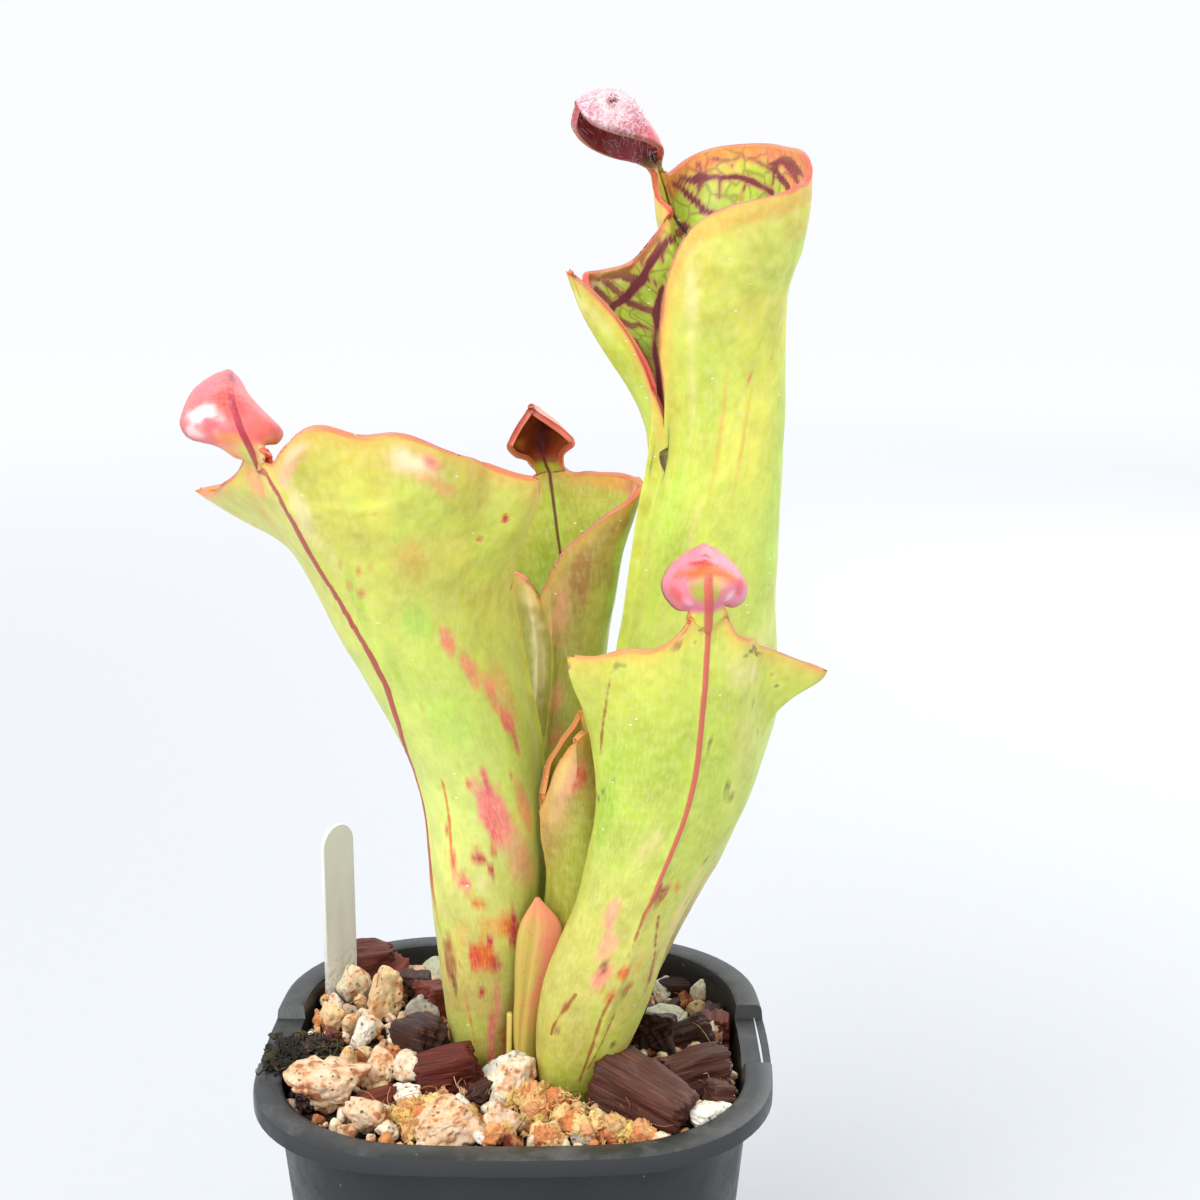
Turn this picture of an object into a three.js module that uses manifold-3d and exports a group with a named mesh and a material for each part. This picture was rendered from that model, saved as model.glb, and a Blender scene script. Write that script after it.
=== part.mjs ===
// Sun pitcher in a square nursery pot, millimetres, +Z up.
// Origin: centre of the pot's underside. +X is right and -Y is towards the viewer of the photograph.
import * as THREE from "three";
import { mergeVertices } from "three/addons/utils/BufferGeometryUtils.js";
import Module from "manifold-3d";

const wasm = await Module();
wasm.setup();

// Driving dimensions.
const POT_HEIGHT = 85;
const POT_HALF = 45; // rim, centre to outer face of the skirt
const POT_FOOT_HALF = 33.4;
const POT_WALL_TOP_HALF = 41.2;
const POT_WALL = 1.3;
const POT_FLOOR = 1.8;
const POT_CORNER_RADIUS = 28.5;
const POT_SIDE_RADIUS = 233; // the sides bulge a little
const FLANGE_WIDTH = 4.8;
const FLANGE_THICKNESS = 1.4;
const SKIRT_HEIGHT = 3.3;
const SKIRT_THICKNESS = 1.2;
const NOTCH_HALF_LENGTH = 10;
const NOTCH_DEPTH = 2;
const NOTCH_SLIT = 0.6; // open beside the right notch's sill; the left one's is closed
const SILL_DEPTH = 2;
const DRAIN_RADIUS = 3.2;
const DRAIN_CORNER = 19;
const DRAIN_SIDE = 25;

const GAP = 0.3; // between neighbouring pieces
const LEAF_BASE_Z = 79; // where each leaf meets the rhizome
const LEAF_WALL = 0.9;
const RIM_WALL = 0.8;
const WING_ANGLE = 9; // degrees to each side of the front seam

const SOIL_FRONT_Z = 83.2;
const SOIL_REAR_Z = 77.5;
const RHIZOME_RADIUS = 17;
const RHIZOME_DEPTH = 12;

const LABEL_WIDTH = 8;
const LABEL_THICKNESS = 0.9;
const LABEL_TOP_Z = 116;
const LABEL_BOTTOM_Z = 68;
const LABEL_X = -34.6;
const LABEL_Y = 23.4;
const LABEL_TURN = 53; // degrees about Z

// Each pitcher: the spine runs from the rhizome to the rim, widths are at STATIONS along it.
// yaw is the direction that the mouth faces, twist adds to it along the spine.
// skew carries the back of the mouth round towards the n side near the rim.
// rim holds bumps of the rim: angle and width in degrees, rise as a share of the height, reach in mm.
// tab holds the stations of neck and hood: margin on the s side, ridge, margin on the n side.
const STATIONS = [0, 0.15, 0.3, 0.45, 0.6, 0.8, 1];
const LEAVES = {
  pitcher_left: {
    colour: 0xb9c94f,
    yaw: 0,
    twist: [52, 39, 19, 23, 34],
    skew: 0,
    spine: [[-6, -2, 79], [-5.3, -2.8, 108], [-7.6, -3.6, 137], [-16.1, -8.2, 166], [-19.6, -14, 192.3]],
    halfWidth: [5, 7.6, 9.1, 9.8, 12.1, 16, 21.3],
    backDepth: [5.2, 7.8, 9.4, 9, 10.6, 14.8, 21.8],
    frontDepth: [5.2, 8.2, 10, 11.6, 13.1, 15.7, 20.6],
    slit: 0.6,
    lip: 2,
    wing: 1,
    flare: 3.7,
    s: {
      angle: 124, height: 0.953, reach: 19.5, droop: 5,
      dip: -0.012, margin: 0.5, spread: 22, frontSpread: 20,
    },
    n: {
      angle: 58, height: 0.956, reach: 7.7, droop: -3.5,
      dip: -0.125, margin: 0.61, spread: 12, frontSpread: 34,
    },
    rim: [
      [-150, 9, 0.007, 1.4],
      [-139, 12, 0.017, 0.1],
      [-121, 8, -0.003, 0],
      [-74, 7, -0.003, -2],
    ],
    neck: { halfAngle: 9, filletS: 0.05, filletN: 0.025, filletAngle: 9 },
    tab: [
      [[-41.3, -27, 193.9], [-38.1, -29.5, 194.9], [-35.9, -29.5, 195.3]],
      [[-44, -27, 195.7], [-38.7, -30.5, 196.8], [-36.2, -28, 195.7]],
      [[-48.2, -24.5, 196.3], [-39.3, -31, 198.5], [-34.8, -26, 195.6]],
      [[-50.1, -22.5, 197.8], [-40, -30.5, 200.4], [-34.1, -24, 197]],
      [[-50, -21, 199.9], [-40.8, -29.5, 202.6], [-36.1, -22.5, 198.6]],
      [[-48.7, -19, 202.7], [-41.5, -27, 204.7], [-39.1, -20.5, 200.8]],
      [[-46.6, -17, 204.4], [-42.3, -23, 205.8], [-41.2, -18, 203.4]],
      [[-45, -15.5, 204.8], [-43.4, -17.5, 205.5], [-42.8, -15.5, 204.4]],
      [[-44.5, -14.3, 204.2], [-44, -14.3, 204.3], [-43.6, -14.3, 204.1]],
    ],
    columns: [7, 7, 4],
    rows: 16,
    tabRows: 9,
  },
  pitcher_tall: {
    colour: 0x9dc63c,
    yaw: 185,
    twist: [0, 0.7, 12, 29, 40.5],
    skew: 70,
    spine: [[15, 6, 79], [22.3, 8, 113], [32.4, 9.3, 152], [36.4, 10.6, 192], [32.2, 9.8, 228.5]],
    halfWidth: [5, 9, 12.4, 13.7, 11.6, 10, 12.7],
    backDepth: [5, 7.9, 13.2, 15.5, 10.7, 10.1, 10.6],
    frontDepth: [5, 9, 12.5, 13.3, 14.3, 13, 16.7],
    slit: 0.782,
    lip: 5,
    wing: 1.4,
    flare: 1.5,
    s: {
      angle: 69, height: 1.175, reach: 1.1, droop: 11,
      dip: 0.031, margin: 0.56, spread: 60, frontSpread: 33,
    },
    n: {
      angle: 41, height: 0.985, reach: 9.4, droop: 3.3,
      dip: 0.081, margin: 0.94, spread: 48, frontSpread: 13,
    },
    rim: [
      [-163, 6, 0.022, -7.4],
      [-114, 28, 0.045, 3.5],
      [148, 30, 0.072, 7.1],
      [70, 26, -0.074, 6.9],
    ],
    neck: { halfAngle: 7, filletS: 0.02, filletN: 0.045, filletAngle: 5.7 },
    tab: [
      [[25.5, 22, 237.6], [23.6, 22, 239.3], [22, 22, 236.9]],
      [[25.7, 18, 239], [23.1, 21, 241.1], [20.7, 23.5, 237.2]],
      [[24.1, 15, 240.2], [21.8, 20, 244], [17.9, 24.5, 237.7]],
      [[20.5, 12, 241.2], [20.1, 18.5, 246.9], [15.1, 24.5, 238.6]],
      [[16.8, 9.5, 242.1], [17.8, 16.5, 249], [12.7, 23, 239.8]],
      [[14, 8, 243.3], [15.3, 14.5, 249.1], [10.9, 20, 241.5]],
      [[12, 8, 244.9], [13, 12, 248.3], [10, 16, 243.8]],
      [[11.3, 9, 246.2], [11.6, 10.5, 247.5], [10.5, 12.5, 245.8]],
      [[11.1, 9.8, 246.7], [11.1, 10, 246.9], [11, 10.4, 246.7]],
    ],
    columns: [7, 6, 4],
    rows: 16,
    tabRows: 10,
  },
  pitcher_rear: {
    colour: 0xa8a852,
    yaw: -104,
    twist: [0, 0, 0, 0, 0],
    skew: 0,
    spine: [[3, 12, 79], [3, 16, 103], [5, 19, 127], [7, 21, 151], [4, 22, 174.6]],
    halfWidth: [4, 6.4, 8, 8.5, 8.5, 9.5, 13.6],
    backDepth: [4, 6.5, 8.2, 8.6, 8.4, 9, 10.7],
    frontDepth: [4, 6.5, 8.2, 8.6, 8.1, 7, 8.9],
    slit: 0.843,
    lip: 1,
    wing: 1.2,
    flare: 1.6,
    s: {
      angle: 78, height: 1.013, reach: 5.7, droop: -5,
      dip: -0.017, margin: 0.75, spread: 67, frontSpread: 24,
    },
    n: {
      angle: 95, height: 0.99, reach: 6, droop: 1,
      dip: 0.021, margin: 0.4, spread: 22, frontSpread: 20,
    },
    rim: [
      [145, 20, 0.024, -1.8],
      [68, 20, -0.014, 2.7],
    ],
    neck: { halfAngle: 12, filletS: 0.064, filletN: 0.08, filletAngle: 12 },
    tab: [
      [[8.1, 30, 183.8], [4.9, 32, 183.1], [1.9, 30.5, 183.2]],
      [[8.2, 28.5, 185], [4.5, 31.8, 184.4], [1.3, 29, 184.3]],
      [[8.7, 26.5, 186], [4.4, 32.3, 185.3], [-0.2, 26.5, 185.2]],
      [[10, 24.5, 187.3], [4.2, 32.8, 186.7], [-1.5, 24.5, 186.9]],
      [[10.1, 24, 188.7], [4.3, 32.8, 188.9], [-1.1, 24, 188.6]],
      [[8.5, 23.8, 190.3], [4.3, 31, 191.3], [-0.1, 23.5, 190.6]],
      [[6.1, 23.5, 192], [3.8, 28.5, 193.3], [1.1, 23, 192.6]],
      [[3.9, 23, 193.5], [3.1, 25.5, 194.4], [2, 23, 194.1]],
      [[2.7, 22.8, 194.4], [2.6, 23.2, 194.7], [2.3, 22.8, 194.5]],
    ],
    columns: [6, 5, 4],
    rows: 13,
    tabRows: 8,
  },
  pitcher_front: {
    colour: 0x93c03a,
    yaw: 105.6,
    twist: [0, 0, 0, 0, 0],
    skew: 0,
    spine: [[9, -15, 79], [13.4, -16.5, 98], [20.1, -17.6, 118], [26.8, -18.9, 139], [27.8, -21.8, 161]],
    halfWidth: [4.5, 7.8, 9.1, 8.6, 10.3, 13.8, 11.2],
    backDepth: [4.5, 7.2, 7.9, 8.1, 8.2, 9.2, 12.1],
    frontDepth: [4.5, 7.7, 8.6, 8.4, 8.7, 10.1, 12],
    slit: 0.658,
    lip: 1,
    wing: 1.4,
    flare: 5.3,
    s: {
      angle: 99, height: 0.993, reach: 8.5, droop: -3.2,
      dip: -0.054, margin: 0.65, spread: 22, frontSpread: 25,
    },
    n: {
      angle: 99, height: 1.003, reach: 12.5, droop: 3.2,
      dip: -0.057, margin: 0.55, spread: 7, frontSpread: 18,
    },
    rim: [],
    neck: { halfAngle: 15, filletS: 0.1, filletN: 0.1, filletAngle: 13 },
    tab: [
      [[28.6, -34.5, 170.8], [31.3, -35.5, 170.6], [33.9, -34.3, 171.2]],
      [[28.2, -34, 171.4], [31.3, -36.5, 172.4], [33.5, -33.5, 172.1]],
      [[26.6, -32, 171.1], [31.2, -37.3, 174], [35.3, -31.5, 171.3]],
      [[25.1, -30, 172.3], [31.1, -37.3, 175.5], [36.9, -29.5, 171.7]],
      [[24.5, -28.5, 173.8], [31.1, -36.5, 177.2], [37.5, -28.3, 173.3]],
      [[25.2, -27, 175.7], [30.9, -34.3, 178.7], [36.9, -27, 174.9]],
      [[27, -26, 177.6], [30.7, -30.5, 179.6], [35.1, -26, 177.1]],
      [[29, -25, 178.7], [30.8, -27, 179.9], [32.8, -25, 178.7]],
      [[30.3, -24, 178.7], [30.9, -24.3, 179.1], [31.6, -24, 178.7]],
    ],
    columns: [6, 6, 4],
    rows: 15,
    tabRows: 9,
  },
  pitcher_small: {
    colour: 0xa9a056,
    yaw: 183.5,
    twist: [0, 0, 0, 0, 0],
    skew: 0,
    spine: [[6.5, -2.5, 79], [9, -3, 95], [10.6, -4.2, 111], [11.2, -6.8, 127], [10.2, -8.8, 145]],
    halfWidth: [3.4, 4.3, 4.9, 5.2, 5.5, 6, 5.5],
    backDepth: [3.4, 4.4, 4.9, 5.1, 5.5, 5.2, 2.7],
    frontDepth: [3.4, 4.4, 5, 5.2, 5.1, 6, 4.9],
    slit: 0.799,
    lip: 0.8,
    wing: 0.5,
    flare: 1.6,
    s: {
      angle: 91, height: 1.124, reach: 3.3, droop: 7.4,
      dip: 0.02, margin: 1.32, spread: 37, frontSpread: 20,
    },
    n: {
      angle: 104, height: 0.963, reach: 5, droop: -1.6,
      dip: 0.02, margin: 0.66, spread: 17, frontSpread: 20,
    },
    rim: [],
    neck: { halfAngle: 14, filletS: 0.06, filletN: 0.06, filletAngle: 12 },
    tab: [
      [[16.5, -10, 150.7], [17.1, -8, 151.2], [18.2, -6.5, 150.1]],
      [[15.5, -11, 152.8], [17, -8.5, 152.9], [18.9, -6, 151.3]],
      [[15.8, -13, 155], [17.1, -10, 155.2], [18.8, -8, 153.5]],
      [[16.8, -14.5, 156.8], [17.4, -13, 156.9], [18.1, -13, 156.4]],
    ],
    columns: [5, 4, 2],
    rows: 11,
    tabRows: 6,
  },
};

// Small maths.
const rad = THREE.MathUtils.degToRad;
const clamp = THREE.MathUtils.clamp;

function smooth(x) {
  const u = clamp(x, 0, 1);
  return u * u * (3 - 2 * u);
}

function slopes(keys, values) {
  const last = keys.length - 1;
  return values.map((value, i) => {
    if (i === 0) return (values[1] - value) / (keys[1] - keys[0]);
    if (i === last) return (value - values[last - 1]) / (keys[last] - keys[last - 1]);
    const before = keys[i] - keys[i - 1];
    const after = keys[i + 1] - keys[i];
    const sum = before ** 2 * values[i + 1] + (after ** 2 - before ** 2) * value - after ** 2 * values[i - 1];
    return sum / (before * after * (before + after));
  });
}

// Cubic Hermite curve through (keys, values).
function curve(keys, values, x) {
  const m = slopes(keys, values);
  let i = 0;
  while (i < keys.length - 2 && x >= keys[i + 1]) i += 1;
  const h = keys[i + 1] - keys[i];
  const u = (x - keys[i]) / h;
  const start = (2 * u ** 3 - 3 * u ** 2 + 1) * values[i] + (u ** 3 - 2 * u ** 2 + u) * h * m[i];
  const end = (-2 * u ** 3 + 3 * u ** 2) * values[i + 1] + (u ** 3 - u ** 2) * h * m[i + 1];
  return start + end;
}

function evenKeys(count) {
  return Array.from({ length: count }, (_, i) => i / (count - 1));
}

// Repeatable random numbers from 0 to 1.
function seeded(seed) {
  let state = seed;
  return () => {
    state = (state * 1664525 + 1013904223) % 4294967296;
    return state / 4294967296;
  };
}

// Solids.
function solid(vertices, triangles) {
  const mesh = new wasm.Mesh({
    numProp: 3,
    vertProperties: new Float32Array(vertices.flatMap((p) => [p.x, p.y, p.z])),
    triVerts: new Uint32Array(triangles.flat()),
  });
  return new wasm.Manifold(mesh);
}

function piece(name, made, colour, roughness) {
  const mesh = made.getMesh();
  const geometry = new THREE.BufferGeometry();
  const count = mesh.vertProperties.length / mesh.numProp;
  const positions = new Float32Array(count * 3);
  for (let i = 0; i < count; i += 1) {
    positions.set(mesh.vertProperties.subarray(i * mesh.numProp, i * mesh.numProp + 3), i * 3);
  }
  geometry.setAttribute("position", new THREE.BufferAttribute(positions, 3));
  geometry.setIndex(new THREE.BufferAttribute(new Uint32Array(mesh.triVerts), 1));
  const merged = mergeVertices(geometry, 1e-4);
  merged.computeVertexNormals();
  const result = new THREE.Mesh(merged, new THREE.MeshStandardMaterial({ color: colour, roughness }));
  result.name = name;
  return result;
}

// Closed body through loops of points with equal counts, first and last loop closed by a fan.
function loft(loops) {
  const n = loops[0].length;
  const vertices = loops.flat();
  const triangles = [];
  for (let i = 0; i < loops.length - 1; i += 1) {
    for (let j = 0; j < n; j += 1) {
      const k = (j + 1) % n;
      const a = i * n + j;
      const b = i * n + k;
      triangles.push([a, b, b + n], [a, b + n, a + n]);
    }
  }
  const mean = (loop) => loop.reduce((sum, p) => sum.add(p), new THREE.Vector3()).divideScalar(n);
  const low = vertices.push(mean(loops[0])) - 1;
  const high = vertices.push(mean(loops[loops.length - 1])) - 1;
  const top = (loops.length - 1) * n;
  for (let j = 0; j < n; j += 1) {
    const k = (j + 1) % n;
    triangles.push([low, k, j], [high, top + j, top + k]);
  }
  return solid(vertices, triangles);
}

// Pot.
// Rounded square with slightly bulged sides: centre-to-side distance half.
function squareLoop(half, z, steps = 13) {
  const corner = POT_CORNER_RADIUS * (half / POT_HALF);
  const side = POT_SIDE_RADIUS * (half / POT_HALF);
  const drop = side - half;
  // The corner arc's centre lies on the diagonal, where both arcs touch.
  const reach = side - corner;
  const c = (-drop + Math.sqrt(2 * reach ** 2 - drop ** 2)) / 2;
  const swing = Math.atan2(c, c + drop);
  const points = [];
  for (let quarter = 0; quarter < 4; quarter += 1) {
    const turn = (quarter * Math.PI) / 2;
    const place = (x, y) => {
      const px = x * Math.cos(turn) - y * Math.sin(turn);
      const py = x * Math.sin(turn) + y * Math.cos(turn);
      points.push(new THREE.Vector3(px, py, z));
    };
    for (let i = 0; i < 5; i += 1) {
      const a = -swing + (2 * swing * i) / 5;
      place(side * Math.cos(a) - drop, side * Math.sin(a));
    }
    for (let i = 0; i < steps - 5; i += 1) {
      const a = swing + ((Math.PI / 2 - 2 * swing) * i) / (steps - 5);
      place(c + corner * Math.cos(a), c + corner * Math.sin(a));
    }
  }
  return points;
}

// Half-width of the cavity at height z.
function cavityHalf(z) {
  const share = (z - POT_FLOOR) / (POT_HEIGHT - POT_FLOOR);
  return POT_FOOT_HALF - POT_WALL + share * (POT_WALL_TOP_HALF - POT_FOOT_HALF);
}

function makePot() {
  const underFlange = POT_HEIGHT - FLANGE_THICKNESS;
  const skirtFoot = POT_HEIGHT - SKIRT_HEIGHT;
  const flangeInner = POT_HALF - FLANGE_WIDTH;
  const profile = [
    [POT_FOOT_HALF - 1, 0],
    [POT_FOOT_HALF, 1],
    [POT_WALL_TOP_HALF - 0.1, skirtFoot],
    [POT_WALL_TOP_HALF, underFlange],
    [POT_HALF - SKIRT_THICKNESS, underFlange],
    [POT_HALF - SKIRT_THICKNESS, skirtFoot],
    [POT_HALF, skirtFoot],
    [POT_HALF, POT_HEIGHT - 0.6],
    [POT_HALF - 0.6, POT_HEIGHT],
    [flangeInner + 0.5, POT_HEIGHT],
    [flangeInner, POT_HEIGHT - 0.5],
    [cavityHalf(underFlange), underFlange - 1],
    [cavityHalf(POT_FLOOR + 1), POT_FLOOR + 1],
    [cavityHalf(POT_FLOOR) - 1, POT_FLOOR],
  ];
  let pot = loft(profile.map(([half, z]) => squareLoop(half, z)));
  // A sill fills the hollow between wall and skirt along each notch.
  const sillFrom = POT_WALL_TOP_HALF - 0.3;
  const skirtInner = POT_HALF - SKIRT_THICKNESS;
  const sill = (reach) => {
    const length = 2 * NOTCH_HALF_LENGTH + 5;
    const bar = wasm.Manifold.cube([reach - sillFrom, length, SILL_DEPTH]);
    return bar.translate([sillFrom, -length / 2, underFlange - SILL_DEPTH + 0.1]);
  };
  pot = pot.add(sill(skirtInner - NOTCH_SLIT));
  pot = pot.add(sill(skirtInner + 0.4).rotate([0, 0, 180]));
  const cuts = [];
  for (const turn of [0, 180]) {
    const ends = NOTCH_HALF_LENGTH;
    const outline = [[-ends - 2, 0.5], [-ends, -NOTCH_DEPTH], [ends, -NOTCH_DEPTH], [ends + 2, 0.5]];
    const prism = new wasm.CrossSection([outline]).extrude(FLANGE_WIDTH + 3);
    const stood = prism.rotate([90, 0, 90]).translate([POT_HALF - FLANGE_WIDTH - 1.5, 0, POT_HEIGHT]);
    cuts.push(stood.rotate([0, 0, turn]));
  }
  for (const turn of [0, 90, 180, 270]) {
    const hole = wasm.Manifold.cylinder(POT_FLOOR * 4, DRAIN_RADIUS, DRAIN_RADIUS, 16);
    const low = hole.translate([0, 0, -POT_FLOOR]);
    cuts.push(low.translate([DRAIN_CORNER, DRAIN_CORNER, 0]).rotate([0, 0, turn]));
    cuts.push(low.translate([DRAIN_SIDE, 0, 0]).rotate([0, 0, turn]));
  }
  for (const cut of cuts) pot = pot.subtract(cut);
  return pot;
}

// Pitcher surface.
function frameAt(leaf, t) {
  const keys = evenKeys(leaf.spine.length);
  const inside = clamp(t, 0, 1);
  const at = (x) => new THREE.Vector3(...[0, 1, 2].map((k) => curve(keys, leaf.spine.map((p) => p[k]), x)));
  const step = 1e-3;
  const near = clamp(t, step, 1 - step);
  const along = at(near + step).sub(at(near - step)).normalize();
  const centre = at(inside);
  if (t > 1) {
    const pairs = leaf.spine.slice(1).map((p, i) => Math.hypot(...p.map((x, k) => x - leaf.spine[i][k])));
    centre.addScaledVector(along, (t - 1) * pairs.reduce((a, b) => a + b));
  }
  const yaw = rad(leaf.yaw + curve(keys, leaf.twist, inside));
  const front = new THREE.Vector3(Math.cos(yaw), Math.sin(yaw), 0);
  front.addScaledVector(along, -along.dot(front)).normalize();
  const side = new THREE.Vector3().crossVectors(along, front);
  return { centre, front, side, along };
}

function bumps(leaf, phi, key) {
  return leaf.rim.reduce((sum, bump) => {
    const away = THREE.MathUtils.euclideanModulo(phi - rad(bump[0]) + Math.PI, 2 * Math.PI) - Math.PI;
    return sum + bump[key] * Math.exp(-((away / rad(bump[1])) ** 2));
  }, 0);
}

// Share of the spine's length at which the rim lies, phi from -PI to PI with 0 at the slit.
function rimShare(leaf, phi) {
  const corner = phi >= 0 ? leaf.s : leaf.n;
  const a = Math.abs(phi);
  const peak = rad(corner.angle);
  let share = leaf.slit + (corner.height - leaf.slit) * clamp(a / peak, 0, 1) ** corner.margin;
  if (a > peak) {
    const back = clamp((a - peak) / (Math.PI - peak), 0, 1);
    share = corner.height + (1 - corner.height) * smooth(back) - corner.dip * Math.sin(Math.PI * back);
  }
  const half = rad(leaf.neck.halfAngle);
  const away = Math.max(Math.PI - a - half, 0);
  const towardsS = clamp(0.5 + ((Math.PI - a) * Math.sign(phi)) / (2 * half), 0, 1);
  const fillet = leaf.neck.filletN + (leaf.neck.filletS - leaf.neck.filletN) * towardsS;
  return share + fillet * Math.exp(-away / rad(leaf.neck.filletAngle)) + bumps(leaf, phi, 2);
}

// Reach and droop of the flared rim.
function flare(leaf, phi) {
  const corner = phi >= 0 ? leaf.s : leaf.n;
  const a = Math.abs(phi);
  const peak = rad(corner.angle);
  const spread = rad(corner.spread);
  const back = leaf.lip + (corner.reach - leaf.lip) * Math.exp(-Math.max(a - peak, 0) / spread);
  const frontLip = 0.6;
  const fall = Math.exp(-Math.max(peak - a, 0) / rad(corner.frontSpread));
  const front = (frontLip + (corner.reach - frontLip) * fall) * clamp(a / rad(8), 0, 1);
  const free = 1 - Math.exp(-(((Math.PI - a) / rad(24)) ** 2));
  const droop = corner.droop * Math.exp(-Math.abs(a - peak) / spread);
  return { reach: (a >= peak ? back : front) * free, droop: droop * free };
}

// Outer surface of the pitcher, v from 0 at the base to 1 at the rim; grow widens the section.
function wall(leaf, phi, v, winged = false, grow = 0) {
  const t = v * rimShare(leaf, phi);
  const { centre, front, side, along } = frameAt(leaf, t);
  const inside = clamp(t, 0, 1);
  const half = curve(STATIONS, leaf.halfWidth, inside) + grow;
  const skew = rad(leaf.skew) * smooth((t - 0.5) / 0.5) ** 1.5;
  const turned = phi + (skew * (1 - Math.cos(phi))) / 2;
  const c = Math.cos(turned);
  const s = Math.sin(turned);
  const depth = curve(STATIONS, c >= 0 ? leaf.frontDepth : leaf.backDepth, inside) + grow;
  const flared = smooth((v - 0.62) / 0.38) ** leaf.flare;
  const lip = flare(leaf, phi);
  const reach = lip.reach + bumps(leaf, phi, 3) * flared ** 2;
  const point = centre.clone().addScaledVector(front, depth * c).addScaledVector(side, half * s);
  point.addScaledVector(front, c * reach * flared).addScaledVector(side, s * reach * flared);
  point.addScaledVector(along, -lip.droop * flared);
  if (winged) {
    const bump = (centreAngle) => Math.exp(-(((phi - centreAngle) / rad(4)) ** 2));
    const fade = smooth(t / 0.15) * (1 - smooth((v - 0.86) / 0.14));
    point.addScaledVector(front, leaf.wing * fade * (bump(rad(WING_ANGLE)) + bump(-rad(WING_ANGLE))));
  }
  // The leaf's foot is cut level, to stand on the rhizome.
  point.z += (LEAF_BASE_Z - point.z) * (1 - smooth(v / 0.07));
  return point;
}

// Neck and nectar spoon above the back of the mouth: across from -1 on the s side to 1, q from 0 to 1 along.
function makeTab(leaf) {
  const half = rad(leaf.neck.halfAngle);
  const rim = [Math.PI - half, Math.PI, half - Math.PI].map((phi) => wall(leaf, phi, 1).toArray());
  const stations = [rim, ...leaf.tab];
  const walked = [0];
  for (let i = 1; i < stations.length; i += 1) {
    walked.push(walked[i - 1] + Math.hypot(...stations[i][1].map((x, k) => x - stations[i - 1][1][k])));
  }
  const keys = walked.map((d) => d / walked[walked.length - 1]);
  const line = (part, q) =>
    new THREE.Vector3(...[0, 1, 2].map((k) => curve(keys, stations.map((s) => s[part][k]), q)));
  return (across, q, foot) => {
    const turn = (across * Math.PI) / 2;
    const [marginS, ridge, marginN] = [0, 1, 2].map((part) => line(part, q));
    const middle = marginS.clone().add(marginN).multiplyScalar(0.5);
    const strip = ridge.clone().addScaledVector(middle.sub(ridge), 1 - Math.cos(turn));
    strip.addScaledVector(marginN.sub(marginS), Math.sin(turn) / 2);
    return foot.clone().lerp(strip, smooth(q / keys[1]));
  };
}

// Column angles, starting at the slit and going round over the s side; the neck's are the middle ones.
function columnAngles(leaf) {
  const [frontCount, sideCount, tabCount] = leaf.columns;
  const half = rad(leaf.neck.halfAngle);
  const one = (corner) => {
    const peak = rad(corner.angle);
    const angles = [];
    for (let i = 1; i <= frontCount; i += 1) angles.push(peak * (i / frontCount) ** 0.9);
    for (let i = 1; i <= sideCount; i += 1) angles.push(peak + ((Math.PI - half - peak) * i) / sideCount);
    return angles;
  };
  const s = one(leaf.s);
  const n = one(leaf.n);
  const middle = [];
  for (let i = 1; i < tabCount; i += 1) {
    const a = Math.PI - half + (2 * half * i) / tabCount;
    middle.push(a > Math.PI + 1e-9 ? a - 2 * Math.PI : a);
  }
  return { angles: [0, ...s, ...middle, ...n.reverse().map((a) => -a)], first: s.length };
}

function wallNormal(leaf, phi, v) {
  const d = 0.05;
  const low = Math.max(v - 0.01, 0);
  const high = Math.min(v + 0.01, 1);
  const round = (a) => (a > Math.PI ? a - 2 * Math.PI : a < -Math.PI ? a + 2 * Math.PI : a);
  const across = wall(leaf, round(phi + d), v).sub(wall(leaf, round(phi - d), v));
  const up = wall(leaf, phi, high).sub(wall(leaf, phi, low));
  return across.cross(up).normalize();
}

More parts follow.
